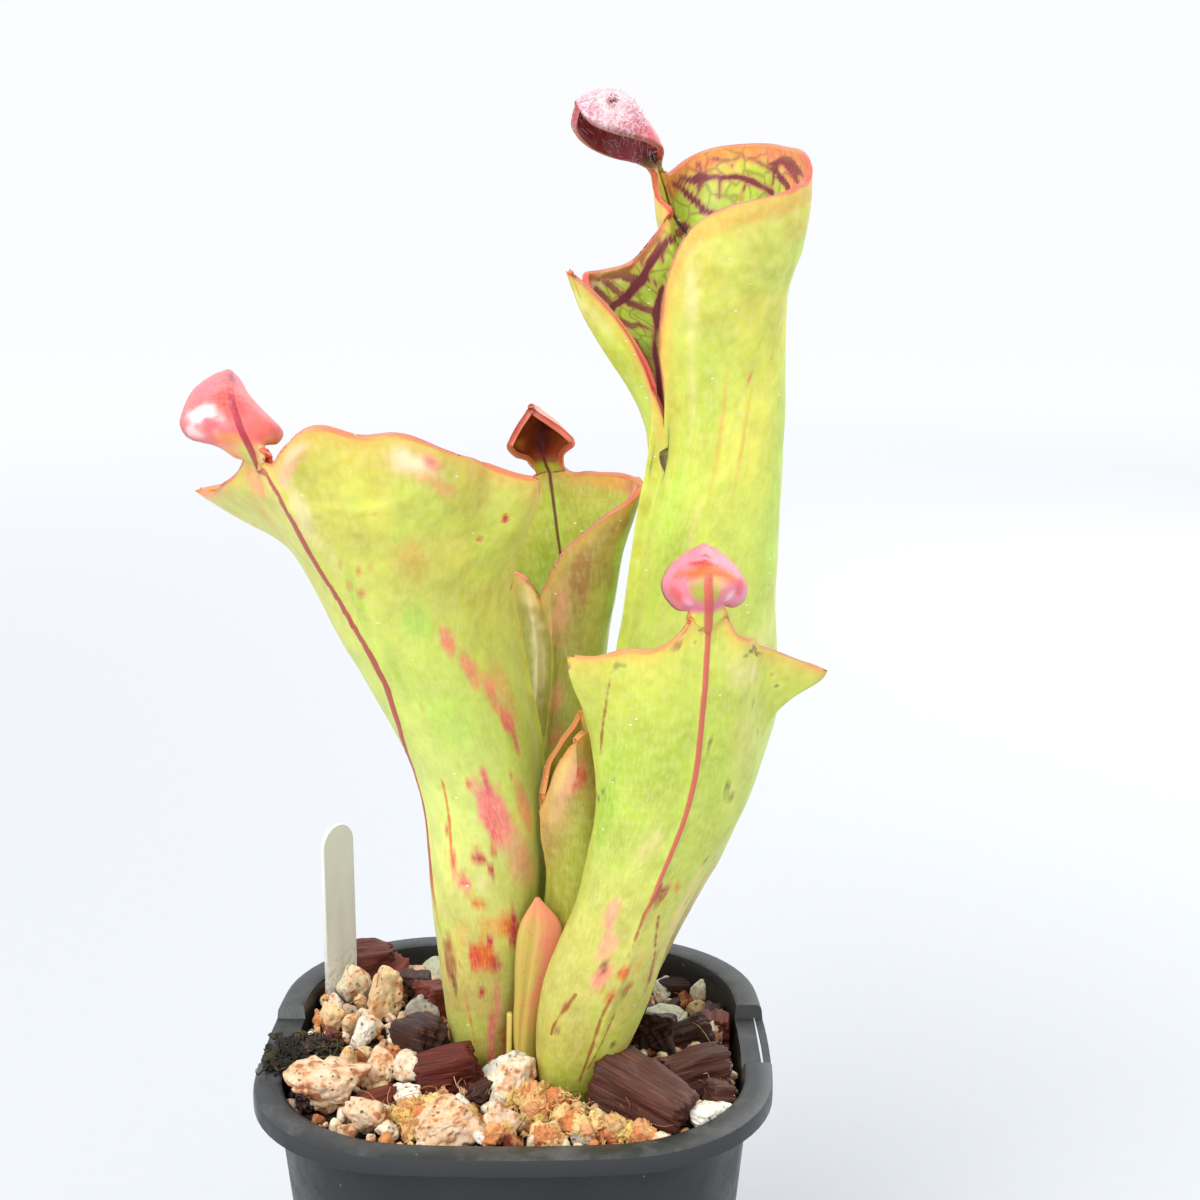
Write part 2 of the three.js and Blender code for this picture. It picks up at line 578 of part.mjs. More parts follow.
function makePitcher(leaf) {
  const { angles, first } = columnAngles(leaf);
  const count = angles.length;
  const tabCount = leaf.columns[2];
  const shares = Array.from({ length: leaf.rows + 1 }, (_, i) => (i / leaf.rows) ** 0.9);
  const thickness = (v) => LEAF_WALL + (RIM_WALL - LEAF_WALL) * v;
  const outer = shares.map((v) => angles.map((phi) => wall(leaf, phi, v, true)));
  const inner = shares.map((v) =>
    angles.map((phi) => wall(leaf, phi, v).addScaledVector(wallNormal(leaf, phi, v), -thickness(v))),
  );
  const tab = makeTab(leaf);
  const across = (m) => -1 + (2 * m) / tabCount;
  const foot = (x) => {
    const place = ((x + 1) / 2) * tabCount;
    const i = clamp(Math.floor(place), 0, tabCount - 1);
    const rim = outer[leaf.rows];
    return rim[first + i].clone().lerp(rim[first + i + 1], place - i);
  };
  const tabOuter = [];
  const tabInner = [];
  for (let k = 1; k <= leaf.tabRows; k += 1) {
    const q = k / leaf.tabRows;
    const outerRow = [];
    const innerRow = [];
    for (let m = 0; m <= tabCount; m += 1) {
      const x = across(m);
      const d = 0.04;
      const point = tab(x, q, foot(x));
      const left = Math.max(x - d, -1);
      const right = Math.min(x + d, 1);
      const low = Math.max(q - d, 0);
      const high = Math.min(q + d, 1);
      const sideways = tab(right, q, foot(right)).sub(tab(left, q, foot(left)));
      const up = tab(x, high, foot(x)).sub(tab(x, low, foot(x)));
      const normal = sideways.cross(up).normalize();
      outerRow.push(point);
      innerRow.push(point.clone().addScaledVector(normal, -RIM_WALL));
    }
    tabOuter.push(outerRow);
    tabInner.push(innerRow);
  }

  const vertices = [];
  const add = (rows) => rows.map((row) => row.map((p) => vertices.push(p) - 1));
  const outerIds = add(outer);
  const innerIds = add(inner);
  const neckIds = (ids) => ids[leaf.rows].slice(first, first + tabCount + 1);
  const tabOuterIds = [neckIds(outerIds), ...add(tabOuter)];
  const tabInnerIds = [neckIds(innerIds), ...add(tabInner)];
  const triangles = [];
  const quad = (a, b, c, d) => triangles.push([a, b, c], [a, c, d]);
  for (let i = 0; i < leaf.rows; i += 1) {
    for (let j = 0; j < count; j += 1) {
      const k = (j + 1) % count;
      quad(outerIds[i][j], outerIds[i][k], outerIds[i + 1][k], outerIds[i + 1][j]);
      if (i > 0) quad(innerIds[i + 1][j], innerIds[i + 1][k], innerIds[i][k], innerIds[i][j]);
    }
  }
  // The rim, apart from the columns that carry on into the neck.
  const rim = leaf.rows;
  for (let j = 0; j < count; j += 1) {
    const k = (j + 1) % count;
    if (j >= first && j < first + tabCount) continue;
    quad(outerIds[rim][j], outerIds[rim][k], innerIds[rim][k], innerIds[rim][j]);
  }
  for (let k = 0; k < leaf.tabRows; k += 1) {
    for (let m = 0; m < tabCount; m += 1) {
      quad(tabOuterIds[k][m], tabOuterIds[k][m + 1], tabOuterIds[k + 1][m + 1], tabOuterIds[k + 1][m]);
      quad(tabInnerIds[k + 1][m], tabInnerIds[k + 1][m + 1], tabInnerIds[k][m + 1], tabInnerIds[k][m]);
    }
    quad(tabInnerIds[k][0], tabOuterIds[k][0], tabOuterIds[k + 1][0], tabInnerIds[k + 1][0]);
    const m = tabCount;
    quad(tabOuterIds[k][m], tabInnerIds[k][m], tabInnerIds[k + 1][m], tabOuterIds[k + 1][m]);
  }
  const tip = leaf.tabRows;
  for (let m = 0; m < tabCount; m += 1) {
    quad(tabOuterIds[tip][m], tabOuterIds[tip][m + 1], tabInnerIds[tip][m + 1], tabInnerIds[tip][m]);
  }
  // Foot of the leaf, and the floor of the tube above it.
  const mean = (row) => row.reduce((sum, p) => sum.add(p), new THREE.Vector3()).divideScalar(row.length);
  const footId = vertices.push(mean(outer[0])) - 1;
  const floorId = vertices.push(mean(inner[1])) - 1;
  for (let j = 0; j < count; j += 1) {
    const k = (j + 1) % count;
    triangles.push([footId, outerIds[0][k], outerIds[0][j]], [floorId, innerIds[1][j], innerIds[1][k]]);
  }
  return solid(vertices, triangles);
}

// The room that a leaf's base needs in the soil.
function baseHole(leaf) {
  const loops = [];
  for (let v = 0; v <= 0.2; v += 0.025) {
    const angles = Array.from({ length: 20 }, (_, i) => -Math.PI + (2 * Math.PI * i) / 20);
    loops.push(angles.map((phi) => wall(leaf, phi, v, false, GAP + 1.4 * smooth(v / 0.1) + 0.2)));
  }
  for (const p of loops[0]) p.z -= 0.6;
  return loft(loops);
}

// Young leaf and bract.
function makeYoungLeaf(grow = 0) {
  const keys = evenKeys(7);
  const xs = [2.3, 2, 1.8, 2.6, 3.7, 4.6, 4.1];
  const ys = [-10, -10.4, -10.8, -11, -11, -10.6, -10.2];
  const zs = [79, 84, 90, 97, 104, 110, 115];
  const wide = [1.9, 2, 2.2, 2.6, 3.5, 3.6, 0.35];
  const deep = [1.9, 1.9, 1.8, 1.6, 1.4, 1.1, 0.35];
  const loops = [];
  const rows = 12;
  for (let i = 0; i <= rows; i += 1) {
    const t = i / rows;
    const a = curve(keys, wide, t) + grow;
    const b = curve(keys, deep, t) + grow;
    const loop = [];
    for (let j = 0; j < 14; j += 1) {
      const phi = (2 * Math.PI * j) / 14;
      const x = curve(keys, xs, t) + a * Math.cos(phi);
      const y = curve(keys, ys, t) + b * Math.sin(phi) * (1 - 0.25 * Math.cos(phi));
      loop.push(new THREE.Vector3(x, y, curve(keys, zs, t)));
    }
    loops.push(loop);
  }
  if (grow > 0) for (const p of loops[0]) p.z -= 0.6;
  return loft(loops);
}

const BRACT_SECTION = [
  [-1, 1], [-0.3, 1.6], [0.3, 1.6], [1, 1],
  [1, -1], [0.3, -0.4], [-0.3, -0.4], [-1, -1],
];

function makeBract(grow = 0) {
  const loops = [];
  const rows = 8;
  for (let i = 0; i <= rows; i += 1) {
    const t = i / rows;
    const half = 1.9 * Math.sqrt(1 - 0.92 * t ** 2) + grow;
    const thick = 0.4 + grow;
    const x0 = -1.1 + 0.4 * t;
    const z = LEAF_BASE_Z + 15 * t - (grow > 0 && i === 0 ? 0.6 : 0);
    const loop = [];
    for (const [across, out] of BRACT_SECTION) {
      loop.push(new THREE.Vector3(x0 - out * thick, -10.8 - across * half, z));
    }
    loops.push(loop);
  }
  return loft(loops);
}

// Rhizome.
function makeRhizome(grow = 0) {
  const lumps = (a) => 1 + 0.1 * Math.sin(3 * a + 0.6) + 0.05 * Math.sin(5 * a + 2);
  const profile = [
    [0.35, -RHIZOME_DEPTH],
    [0.7, -RHIZOME_DEPTH * 0.75],
    [0.95, -RHIZOME_DEPTH * 0.35],
    [1, -2],
    [0.93, 0],
  ];
  const top = LEAF_BASE_Z - GAP;
  const loops = profile.map(([share, z], i) => {
    const loop = [];
    for (let j = 0; j < 24; j += 1) {
      const a = (2 * Math.PI * j) / 24;
      const r = RHIZOME_RADIUS * share * lumps(a) + grow;
      const end = i === 0 ? -grow : i === profile.length - 1 ? grow : 0;
      loop.push(new THREE.Vector3(5 + r * Math.cos(a), -1 + r * Math.sin(a), top + z + end));
    }
    return loop;
  });
  return loft(loops);
}

// Plant label.
function makeLabel(grow = 0) {
  const half = LABEL_WIDTH / 2 + grow;
  const top = LABEL_TOP_Z - half;
  const foot = LABEL_BOTTOM_Z - grow;
  const outline = [[-0.4 - grow, foot], [0.4 + grow, foot], [half, LABEL_BOTTOM_Z + 9]];
  for (let i = 0; i <= 10; i += 1) {
    const a = (Math.PI * i) / 10;
    outline.push([half * Math.cos(a), top + half * Math.sin(a)]);
  }
  outline.push([-half, LABEL_BOTTOM_Z + 9]);
  const thick = LABEL_THICKNESS + 2 * grow;
  const plate = new wasm.CrossSection([outline]).extrude(thick).translate([0, 0, -thick / 2]);
  return plate.rotate([90, 0, LABEL_TURN]).translate([LABEL_X, LABEL_Y, 0]);
}

// Soil.
// Mean level of the mix: full at the front and left, sunk at the rear and right.
function soilLevel(x, y) {
  const sunk = smooth((x + 2 * y + 10) / 90);
  return SOIL_FRONT_Z + (SOIL_REAR_Z - SOIL_FRONT_Z) * sunk;
}

function stone(random, x, y, z, size) {
  const points = [];
  for (let i = 0; i < 11; i += 1) {
    const up = 1 - (2 * (i + 0.5)) / 11;
    const a = i * 2.4 + random() * 0.8;
    const flat = Math.sqrt(1 - up ** 2);
    const r = size * (0.82 + 0.3 * random());
    points.push([x + r * flat * Math.cos(a), y + r * flat * Math.sin(a), z + 0.8 * r * up]);
  }
  return wasm.Manifold.hull(points);
}

function chip(random, x, y, z, size) {
  const box = wasm.Manifold.cube([size * 2, size * 1.2, size * 0.9], true);
  const turned = box.rotate([random() * 50 - 25, random() * 50 - 25, random() * 360]);
  return turned.translate([x, y, z]);
}

function makeSoil() {
  const random = seeded(11);
  const bottom = POT_FLOOR + GAP;
  const rings = [0, 0.3, 0.55, 0.8, 1];
  const top = [];
  for (const ring of rings.slice(1).reverse()) {
    const loop = squareLoop(cavityHalf(SOIL_REAR_Z) - GAP, 0).filter((_, i) => i % 2 === 0);
    const bumpy = ring < 1 ? 0.7 : 0;
    top.push(loop.map((p) => {
      const x = p.x * ring;
      const y = p.y * ring;
      return new THREE.Vector3(x, y, soilLevel(x, y) - 1.5 * ring ** 8 + bumpy * (random() - 0.5));
    }));
  }
  const side = (half, z) => squareLoop(half, z).filter((_, i) => i % 2 === 0);
  const sides = [side(cavityHalf(bottom) - GAP - 1, bottom), side(cavityHalf(bottom + 1) - GAP, bottom + 1)];
  let soil = loft([...sides, ...top]);
  const lumps = [];
  let tries = 0;
  while (lumps.length < 58 && tries < 4000) {
    tries += 1;
    const x = (random() * 2 - 1) * 37;
    const y = (random() * 2 - 1) * 37;
    const size = 2.6 + 1.6 * random();
    if (lumps.some((l) => Math.hypot(l.x - x, l.y - y) < 0.8 * (l.size + size))) continue;
    if (Math.hypot(x - 5, y + 2) < 9) continue;
    lumps.push({ x, y, size });
    const z = soilLevel(x, y) + 0.1 * size;
    const made = random() < 0.22 ? chip(random, x, y, z, size) : stone(random, x, y, z, size);
    soil = soil.add(made);
  }
  const room = loft([squareLoop(cavityHalf(0) - GAP - 0.2, 0), squareLoop(cavityHalf(96) - GAP - 0.2, 96)]);
  soil = soil.intersect(room);
  for (const leaf of Object.values(LEAVES)) soil = soil.subtract(baseHole(leaf));
  soil = soil.subtract(makeYoungLeaf(GAP + 0.3));
  soil = soil.subtract(makeBract(GAP + 0.2));
  soil = soil.subtract(makeLabel(GAP + 0.1));
  soil = soil.subtract(makeRhizome(GAP + 0.2));
  return soil.decompose().sort((a, b) => b.volume() - a.volume())[0];
}

// Assembly.
const plant = new THREE.Group();
plant.name = "sun_pitcher";
plant.add(piece("pot", makePot(), 0x1d1e20, 0.5));
plant.add(piece("soil", makeSoil(), 0xb9a58c, 0.9));
plant.add(piece("rhizome", makeRhizome(), 0x5a4632, 0.85));
for (const [name, leaf] of Object.entries(LEAVES)) {
  plant.add(piece(name, makePitcher(leaf), leaf.colour, 0.45));
}
plant.add(piece("young_leaf", makeYoungLeaf(), 0xd98b5f, 0.5));
plant.add(piece("bract", makeBract(), 0xd9c86a, 0.6));
plant.add(piece("plant_label", makeLabel(), 0xf2f3f4, 0.4));

export default plant;
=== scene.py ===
import math

import bmesh
import bpy
import numpy as np
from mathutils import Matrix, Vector, kdtree


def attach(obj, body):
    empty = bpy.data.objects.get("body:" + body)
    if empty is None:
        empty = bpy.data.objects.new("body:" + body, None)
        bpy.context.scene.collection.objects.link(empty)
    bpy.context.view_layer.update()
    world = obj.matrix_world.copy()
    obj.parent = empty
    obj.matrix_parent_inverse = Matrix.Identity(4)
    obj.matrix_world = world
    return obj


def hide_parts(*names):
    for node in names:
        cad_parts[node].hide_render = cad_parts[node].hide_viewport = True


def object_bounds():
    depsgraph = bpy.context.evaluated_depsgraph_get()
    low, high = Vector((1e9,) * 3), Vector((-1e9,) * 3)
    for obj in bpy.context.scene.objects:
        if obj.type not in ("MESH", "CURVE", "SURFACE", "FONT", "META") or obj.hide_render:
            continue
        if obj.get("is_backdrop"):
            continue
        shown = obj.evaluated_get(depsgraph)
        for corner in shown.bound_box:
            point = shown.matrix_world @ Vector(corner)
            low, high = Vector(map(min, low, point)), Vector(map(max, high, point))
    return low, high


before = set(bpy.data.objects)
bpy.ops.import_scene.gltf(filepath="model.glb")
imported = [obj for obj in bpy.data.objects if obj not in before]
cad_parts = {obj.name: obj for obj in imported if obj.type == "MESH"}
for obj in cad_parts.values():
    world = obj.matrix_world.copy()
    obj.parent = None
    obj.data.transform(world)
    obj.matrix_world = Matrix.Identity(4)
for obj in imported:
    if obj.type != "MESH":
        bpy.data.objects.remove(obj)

cad_box = [list(corner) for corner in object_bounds()]
MM = 0.001

# Camera: fitted to the rim of the pot in the photograph.
CAMERA_PLACE = (14.8, -326.3, 242.2)
CAMERA_PITCH = 13.34
CAMERA_LENS = 59.13
CAMERA_SENSOR = 36.0

# Pot, as in the CAD model.
POT_HEIGHT = 85.0
POT_HALF = 45.0
POT_FOOT_HALF = 33.4
POT_WALL_TOP_HALF = 41.2
POT_WALL = 1.3
POT_FLOOR = 1.8
POT_CORNER_RADIUS = 28.5
POT_SIDE_RADIUS = 233.0
FLANGE_WIDTH = 4.8
FLANGE_THICKNESS = 1.4
SKIRT_HEIGHT = 3.3
SKIRT_THICKNESS = 1.2
NOTCH_HALF_LENGTH = 10.0
NOTCH_DEPTH = 2.0
NOTCH_SLIT = 0.6
DRAIN_RADIUS = 3.2
DRAIN_CORNER = 19.0
DRAIN_SIDE = 25.0

# Label, as in the CAD model.
LABEL_PLACE = (-34.6, 23.4)
LABEL_TURN = 53.0
LABEL_HALF_WIDTH = 4.0
LABEL_THICKNESS = 0.9
LABEL_FOOT_Z = 68.0
LABEL_TOP_Z = 116.0
LABEL_POINT_LENGTH = 9.0
LABEL_BEVEL = 0.12

# Leaves: foot, thickness of the wall below and at the rim, and the two wings beside the slit.
LEAF_BASE_Z = 79.0
LEAF_WALL = 0.9
RIM_WALL = 0.8
WING_ANGLE = 9.0
# Places up a leaf, as shares of its height, at which its widths and depths are given.
STATIONS = [0, 0.15, 0.3, 0.45, 0.6, 0.8, 1]
# Relief of the leaves: midrib, broad and fine lumps, and the bead along the rim.
MIDRIB_HEIGHT = 0.38
MIDRIB_REACH = 0.75
BROAD_LUMPS = 0.22
FINE_LUMPS = 0.06
BEAD_HEIGHT = 0.16
BEAD_REACH = 0.55
# The rim's cross-section: shares of its thickness across and outward.
RIM_ROUND = ((0.433, 0.25), (0.25, 0.40), (0.0, 0.47), (-0.25, 0.40), (-0.433, 0.25))
# No line on a leaf is looked for beyond this distance.
FAR = 8.0

# Level of the potting mix in front and behind.
SOIL_FRONT_Z = 83.2
SOIL_REAR_Z = 77.5


def corner(angle, height, reach, droop, dip, margin, spread=22, front_spread=20):
    """A corner of the mouth: angles in degrees, height, dip and margin as shares, reach and droop in mm."""
    return dict(angle=angle, height=height, reach=reach, droop=droop, dip=dip, margin=margin, spread=spread,
                front_spread=front_spread)


# The leaves' shapes are those of the CAD model, in mm and degrees.
# spine holds points of the middle line; twist turns the leaf about it; s and n are the mouth's corners.
# columns counts the mesh's columns in front, at the sides and across the neck.
# rim holds bumps of the rim: angle and width in degrees, rise as a share of the height, reach in mm.
# tab holds the stations of neck and hood in mm: margin on the s side, ridge, margin on the n side.
LEAVES = {
    "pitcher_left": dict(
        yaw=0, twist=[52, 39, 19, 23, 34], skew=0,
        spine=[[-6, -2, 79], [-5.3, -2.8, 108], [-7.6, -3.6, 137], [-16.1, -8.2, 166], [-19.6, -14, 192.3]],
        half_width=[5, 7.6, 9.1, 9.8, 12.1, 16, 21.3],
        back_depth=[5.2, 7.8, 9.4, 9, 10.6, 14.8, 21.8],
        front_depth=[5.2, 8.2, 10, 11.6, 13.1, 15.7, 20.6],
        slit=0.6, lip=2, wing=1, flare=3.7,
        s=corner(124, 0.953, 19.5, 5, -0.012, 0.5, 22, 20),
        n=corner(58, 0.956, 7.7, -3.5, -0.125, 0.61, 12, 34),
        rim=[
            [-150, 9, 0.007, 1.4], [-139, 12, 0.017, 0.1], [-121, 8, -0.003, 0],
            [-74, 7, -0.003, -2],
        ],
        neck=dict(half_angle=9, fillet_s=0.05, fillet_n=0.025, fillet_angle=9),
        tab=[
            [[-41.3, -27, 193.9], [-38.1, -29.5, 194.9], [-35.9, -29.5, 195.3]],
            [[-44, -27, 195.7], [-38.7, -30.5, 196.8], [-36.2, -28, 195.7]],
            [[-48.2, -24.5, 196.3], [-39.3, -31, 198.5], [-34.8, -26, 195.6]],
            [[-50.1, -22.5, 197.8], [-40, -30.5, 200.4], [-34.1, -24, 197]],
            [[-50, -21, 199.9], [-40.8, -29.5, 202.6], [-36.1, -22.5, 198.6]],
            [[-48.7, -19, 202.7], [-41.5, -27, 204.7], [-39.1, -20.5, 200.8]],
            [[-46.6, -17, 204.4], [-42.3, -23, 205.8], [-41.2, -18, 203.4]],
            [[-45, -15.5, 204.8], [-43.4, -17.5, 205.5], [-42.8, -15.5, 204.4]],
            [[-44.5, -14.3, 204.2], [-44, -14.3, 204.3], [-43.6, -14.3, 204.1]],
        ],
        columns=(64, 44, 20), rows=100, tab_rows=46, rim_wave=0.5,
    ),
    "pitcher_tall": dict(
        yaw=185, twist=[0, 0.7, 12, 29, 40.5], skew=70,
        spine=[[15, 6, 79], [22.3, 8, 113], [32.4, 9.3, 152], [36.4, 10.6, 192], [32.2, 9.8, 228.5]],
        half_width=[5, 9, 12.4, 13.7, 11.6, 10, 12.7],
        back_depth=[5, 7.9, 13.2, 15.5, 10.7, 10.1, 10.6],
        front_depth=[5, 9, 12.5, 13.3, 14.3, 13, 16.7],
        slit=0.782, lip=5, wing=1.4, flare=1.5,
        s=corner(69, 1.175, 1.1, 11, 0.031, 0.56, 60, 33),
        n=corner(41, 0.985, 9.4, 3.3, 0.081, 0.94, 48, 13),
        rim=[
            [-163, 6, 0.022, -7.4], [-114, 28, 0.045, 3.5], [148, 30, 0.072, 7.1],
            [70, 26, -0.074, 6.9],
        ],
        neck=dict(half_angle=7, fillet_s=0.02, fillet_n=0.045, fillet_angle=5.7),
        tab=[
            [[25.5, 22, 237.6], [23.6, 22, 239.3], [22, 22, 236.9]],
            [[25.7, 18, 239], [23.1, 21, 241.1], [20.7, 23.5, 237.2]],
            [[24.1, 15, 240.2], [21.8, 20, 244], [17.9, 24.5, 237.7]],
            [[20.5, 12, 241.2], [20.1, 18.5, 246.9], [15.1, 24.5, 238.6]],
            [[16.8, 9.5, 242.1], [17.8, 16.5, 249], [12.7, 23, 239.8]],
            [[14, 8, 243.3], [15.3, 14.5, 249.1], [10.9, 20, 241.5]],
            [[12, 8, 244.9], [13, 12, 248.3], [10, 16, 243.8]],
            [[11.3, 9, 246.2], [11.6, 10.5, 247.5], [10.5, 12.5, 245.8]],
            [[11.1, 9.8, 246.7], [11.1, 10, 246.9], [11, 10.4, 246.7]],
        ],
        columns=(84, 56, 20), rows=130, tab_rows=54, rim_wave=0.25,
    ),
    "pitcher_rear": dict(
        yaw=-104, twist=[0, 0, 0, 0, 0], skew=0,
        spine=[[3, 12, 79], [3, 16, 103], [5, 19, 127], [7, 21, 151], [4, 22, 174.6]],
        half_width=[4, 6.4, 8, 8.5, 8.5, 9.5, 13.6],
        back_depth=[4, 6.5, 8.2, 8.6, 8.4, 9, 10.7],
        front_depth=[4, 6.5, 8.2, 8.6, 8.1, 7, 8.9],
        slit=0.843, lip=1, wing=1.2, flare=1.6,
        s=corner(78, 1.013, 5.7, -5, -0.017, 0.75, 67, 24),
        n=corner(95, 0.99, 6, 1, 0.021, 0.4, 22, 20),
        rim=[
            [145, 20, 0.024, -1.8], [68, 20, -0.014, 2.7],
        ],
        neck=dict(half_angle=12, fillet_s=0.064, fillet_n=0.08, fillet_angle=12),
        tab=[
            [[8.1, 30, 183.8], [4.9, 32, 183.1], [1.9, 30.5, 183.2]],
            [[8.2, 28.5, 185], [4.5, 31.8, 184.4], [1.3, 29, 184.3]],
            [[8.7, 26.5, 186], [4.4, 32.3, 185.3], [-0.2, 26.5, 185.2]],
            [[10, 24.5, 187.3], [4.2, 32.8, 186.7], [-1.5, 24.5, 186.9]],
            [[10.1, 24, 188.7], [4.3, 32.8, 188.9], [-1.1, 24, 188.6]],
            [[8.5, 23.8, 190.3], [4.3, 31, 191.3], [-0.1, 23.5, 190.6]],
            [[6.1, 23.5, 192], [3.8, 28.5, 193.3], [1.1, 23, 192.6]],
            [[3.9, 23, 193.5], [3.1, 25.5, 194.4], [2, 23, 194.1]],
            [[2.7, 22.8, 194.4], [2.6, 23.2, 194.7], [2.3, 22.8, 194.5]],
        ],
        columns=(52, 36, 18), rows=84, tab_rows=38, rim_wave=0.3,
    ),
    "pitcher_front": dict(
        yaw=105.6, twist=[0, 0, 0, 0, 0], skew=0,
        spine=[[9, -15, 79], [13.4, -16.5, 98], [20.1, -17.6, 118], [26.8, -18.9, 139], [27.8, -21.8, 161]],
        half_width=[4.5, 7.8, 9.1, 8.6, 10.3, 13.8, 11.2],
        back_depth=[4.5, 7.2, 7.9, 8.1, 8.2, 9.2, 12.1],
        front_depth=[4.5, 7.7, 8.6, 8.4, 8.7, 10.1, 12],
        slit=0.658, lip=1, wing=1.4, flare=5.3,
        s=corner(99, 0.993, 8.5, -3.2, -0.054, 0.65, 22, 25),
        n=corner(99, 1.003, 12.5, 3.2, -0.057, 0.55, 7, 18),
        rim=[],
        neck=dict(half_angle=15, fillet_s=0.1, fillet_n=0.1, fillet_angle=13),
        tab=[
            [[28.6, -34.5, 170.8], [31.3, -35.5, 170.6], [33.9, -34.3, 171.2]],
            [[28.2, -34, 171.4], [31.3, -36.5, 172.4], [33.5, -33.5, 172.1]],
            [[26.6, -32, 171.1], [31.2, -37.3, 174], [35.3, -31.5, 171.3]],
            [[25.1, -30, 172.3], [31.1, -37.3, 175.5], [36.9, -29.5, 171.7]],
            [[24.5, -28.5, 173.8], [31.1, -36.5, 177.2], [37.5, -28.3, 173.3]],
            [[25.2, -27, 175.7], [30.9, -34.3, 178.7], [36.9, -27, 174.9]],
            [[27, -26, 177.6], [30.7, -30.5, 179.6], [35.1, -26, 177.1]],
            [[29, -25, 178.7], [30.8, -27, 179.9], [32.8, -25, 178.7]],
            [[30.3, -24, 178.7], [30.9, -24.3, 179.1], [31.6, -24, 178.7]],
        ],
        columns=(56, 44, 22), rows=96, tab_rows=44, rim_wave=0.4,
    ),
    "pitcher_small": dict(
        yaw=183.5, twist=[0, 0, 0, 0, 0], skew=0,
        spine=[[6.5, -2.5, 79], [9, -3, 95], [10.6, -4.2, 111], [11.2, -6.8, 127], [10.2, -8.8, 145]],
        half_width=[3.4, 4.3, 4.9, 5.2, 5.5, 6, 5.5],
        back_depth=[3.4, 4.4, 4.9, 5.1, 5.5, 5.2, 2.7],
        front_depth=[3.4, 4.4, 5, 5.2, 5.1, 6, 4.9],
        slit=0.799, lip=0.8, wing=0.5, flare=1.6,
        s=corner(91, 1.124, 3.3, 7.4, 0.02, 1.32, 37, 20),
        n=corner(104, 0.963, 5, -1.6, 0.02, 0.66, 17, 20),
        rim=[],
        neck=dict(half_angle=14, fillet_s=0.06, fillet_n=0.06, fillet_angle=12),
        tab=[
            [[16.5, -10, 150.7], [17.1, -8, 151.2], [18.2, -6.5, 150.1]],
            [[15.5, -11, 152.8], [17, -8.5, 152.9], [18.9, -6, 151.3]],
            [[15.8, -13, 155], [17.1, -10, 155.2], [18.8, -8, 153.5]],
            [[16.8, -14.5, 156.8], [17.4, -13, 156.9], [18.1, -13, 156.4]],
        ],
        columns=(40, 28, 14), rows=70, tab_rows=26, rim_wave=0.15,
    ),
}


# Small maths, on arrays.
def smooth(x):
    """Smooth step from 0 at 0 to 1 at 1."""
    u = np.clip(x, 0, 1)
    return u * u * (3 - 2 * u)


def curve(keys, values, x):
    """Cubic Hermite curve through (keys, values) at x."""
    keys = np.asarray(keys, float)
    values = np.asarray(values, float)
    x = np.asarray(x, float)
    slopes = np.gradient(values, keys, axis=0)
    i = np.clip(np.searchsorted(keys, x, side="right") - 1, 0, len(keys) - 2)
    h = keys[i + 1] - keys[i]
    u = (x - keys[i]) / h
    if values.ndim > 1:
        u, h = u[..., None], h[..., None]
    start = (2 * u**3 - 3 * u**2 + 1) * values[i] + (u**3 - 2 * u**2 + u) * h * slopes[i]
    return start + (-2 * u**3 + 3 * u**2) * values[i + 1] + (u**3 - u**2) * h * slopes[i + 1]


def even(values):
    """As many places from 0 to 1 as there are values."""
    return np.linspace(0, 1, len(values))


def unit(v):
    return v / np.maximum(np.linalg.norm(v, axis=-1, keepdims=True), 1e-12)


def hashed(i, j, k, seed):
    """Even numbers from 0 to 1 for whole places i, j, k."""
    n = (i * 73856093) ^ (j * 19349663) ^ (k * 83492791) ^ (seed * 2654435761)
    n = (n ^ (n >> 13)) * 1274126177 & 0x7FFFFFFF
    n = (n ^ (n >> 16)) * 668265263 & 0x7FFFFFFF
    return (n & 0xFFFFF) / float(0xFFFFF)


def noise(p, size, seed=0):
    """Smooth noise from -1 to 1 with features of about the given size."""
    q = np.asarray(p, float) / size
    low = np.floor(q).astype(np.int64)
    f = q - low
    f = f * f * f * (f * (f * 6 - 15) + 10)
    total = np.zeros(q.shape[:-1])
    for a in (0, 1):
        for b in (0, 1):
            for c in (0, 1):
                weight = (np.where(a, f[..., 0], 1 - f[..., 0]) * np.where(b, f[..., 1], 1 - f[..., 1])
                          * np.where(c, f[..., 2], 1 - f[..., 2]))
                total += weight * hashed(low[..., 0] + a, low[..., 1] + b, low[..., 2] + c, seed)
    return total * 2 - 1


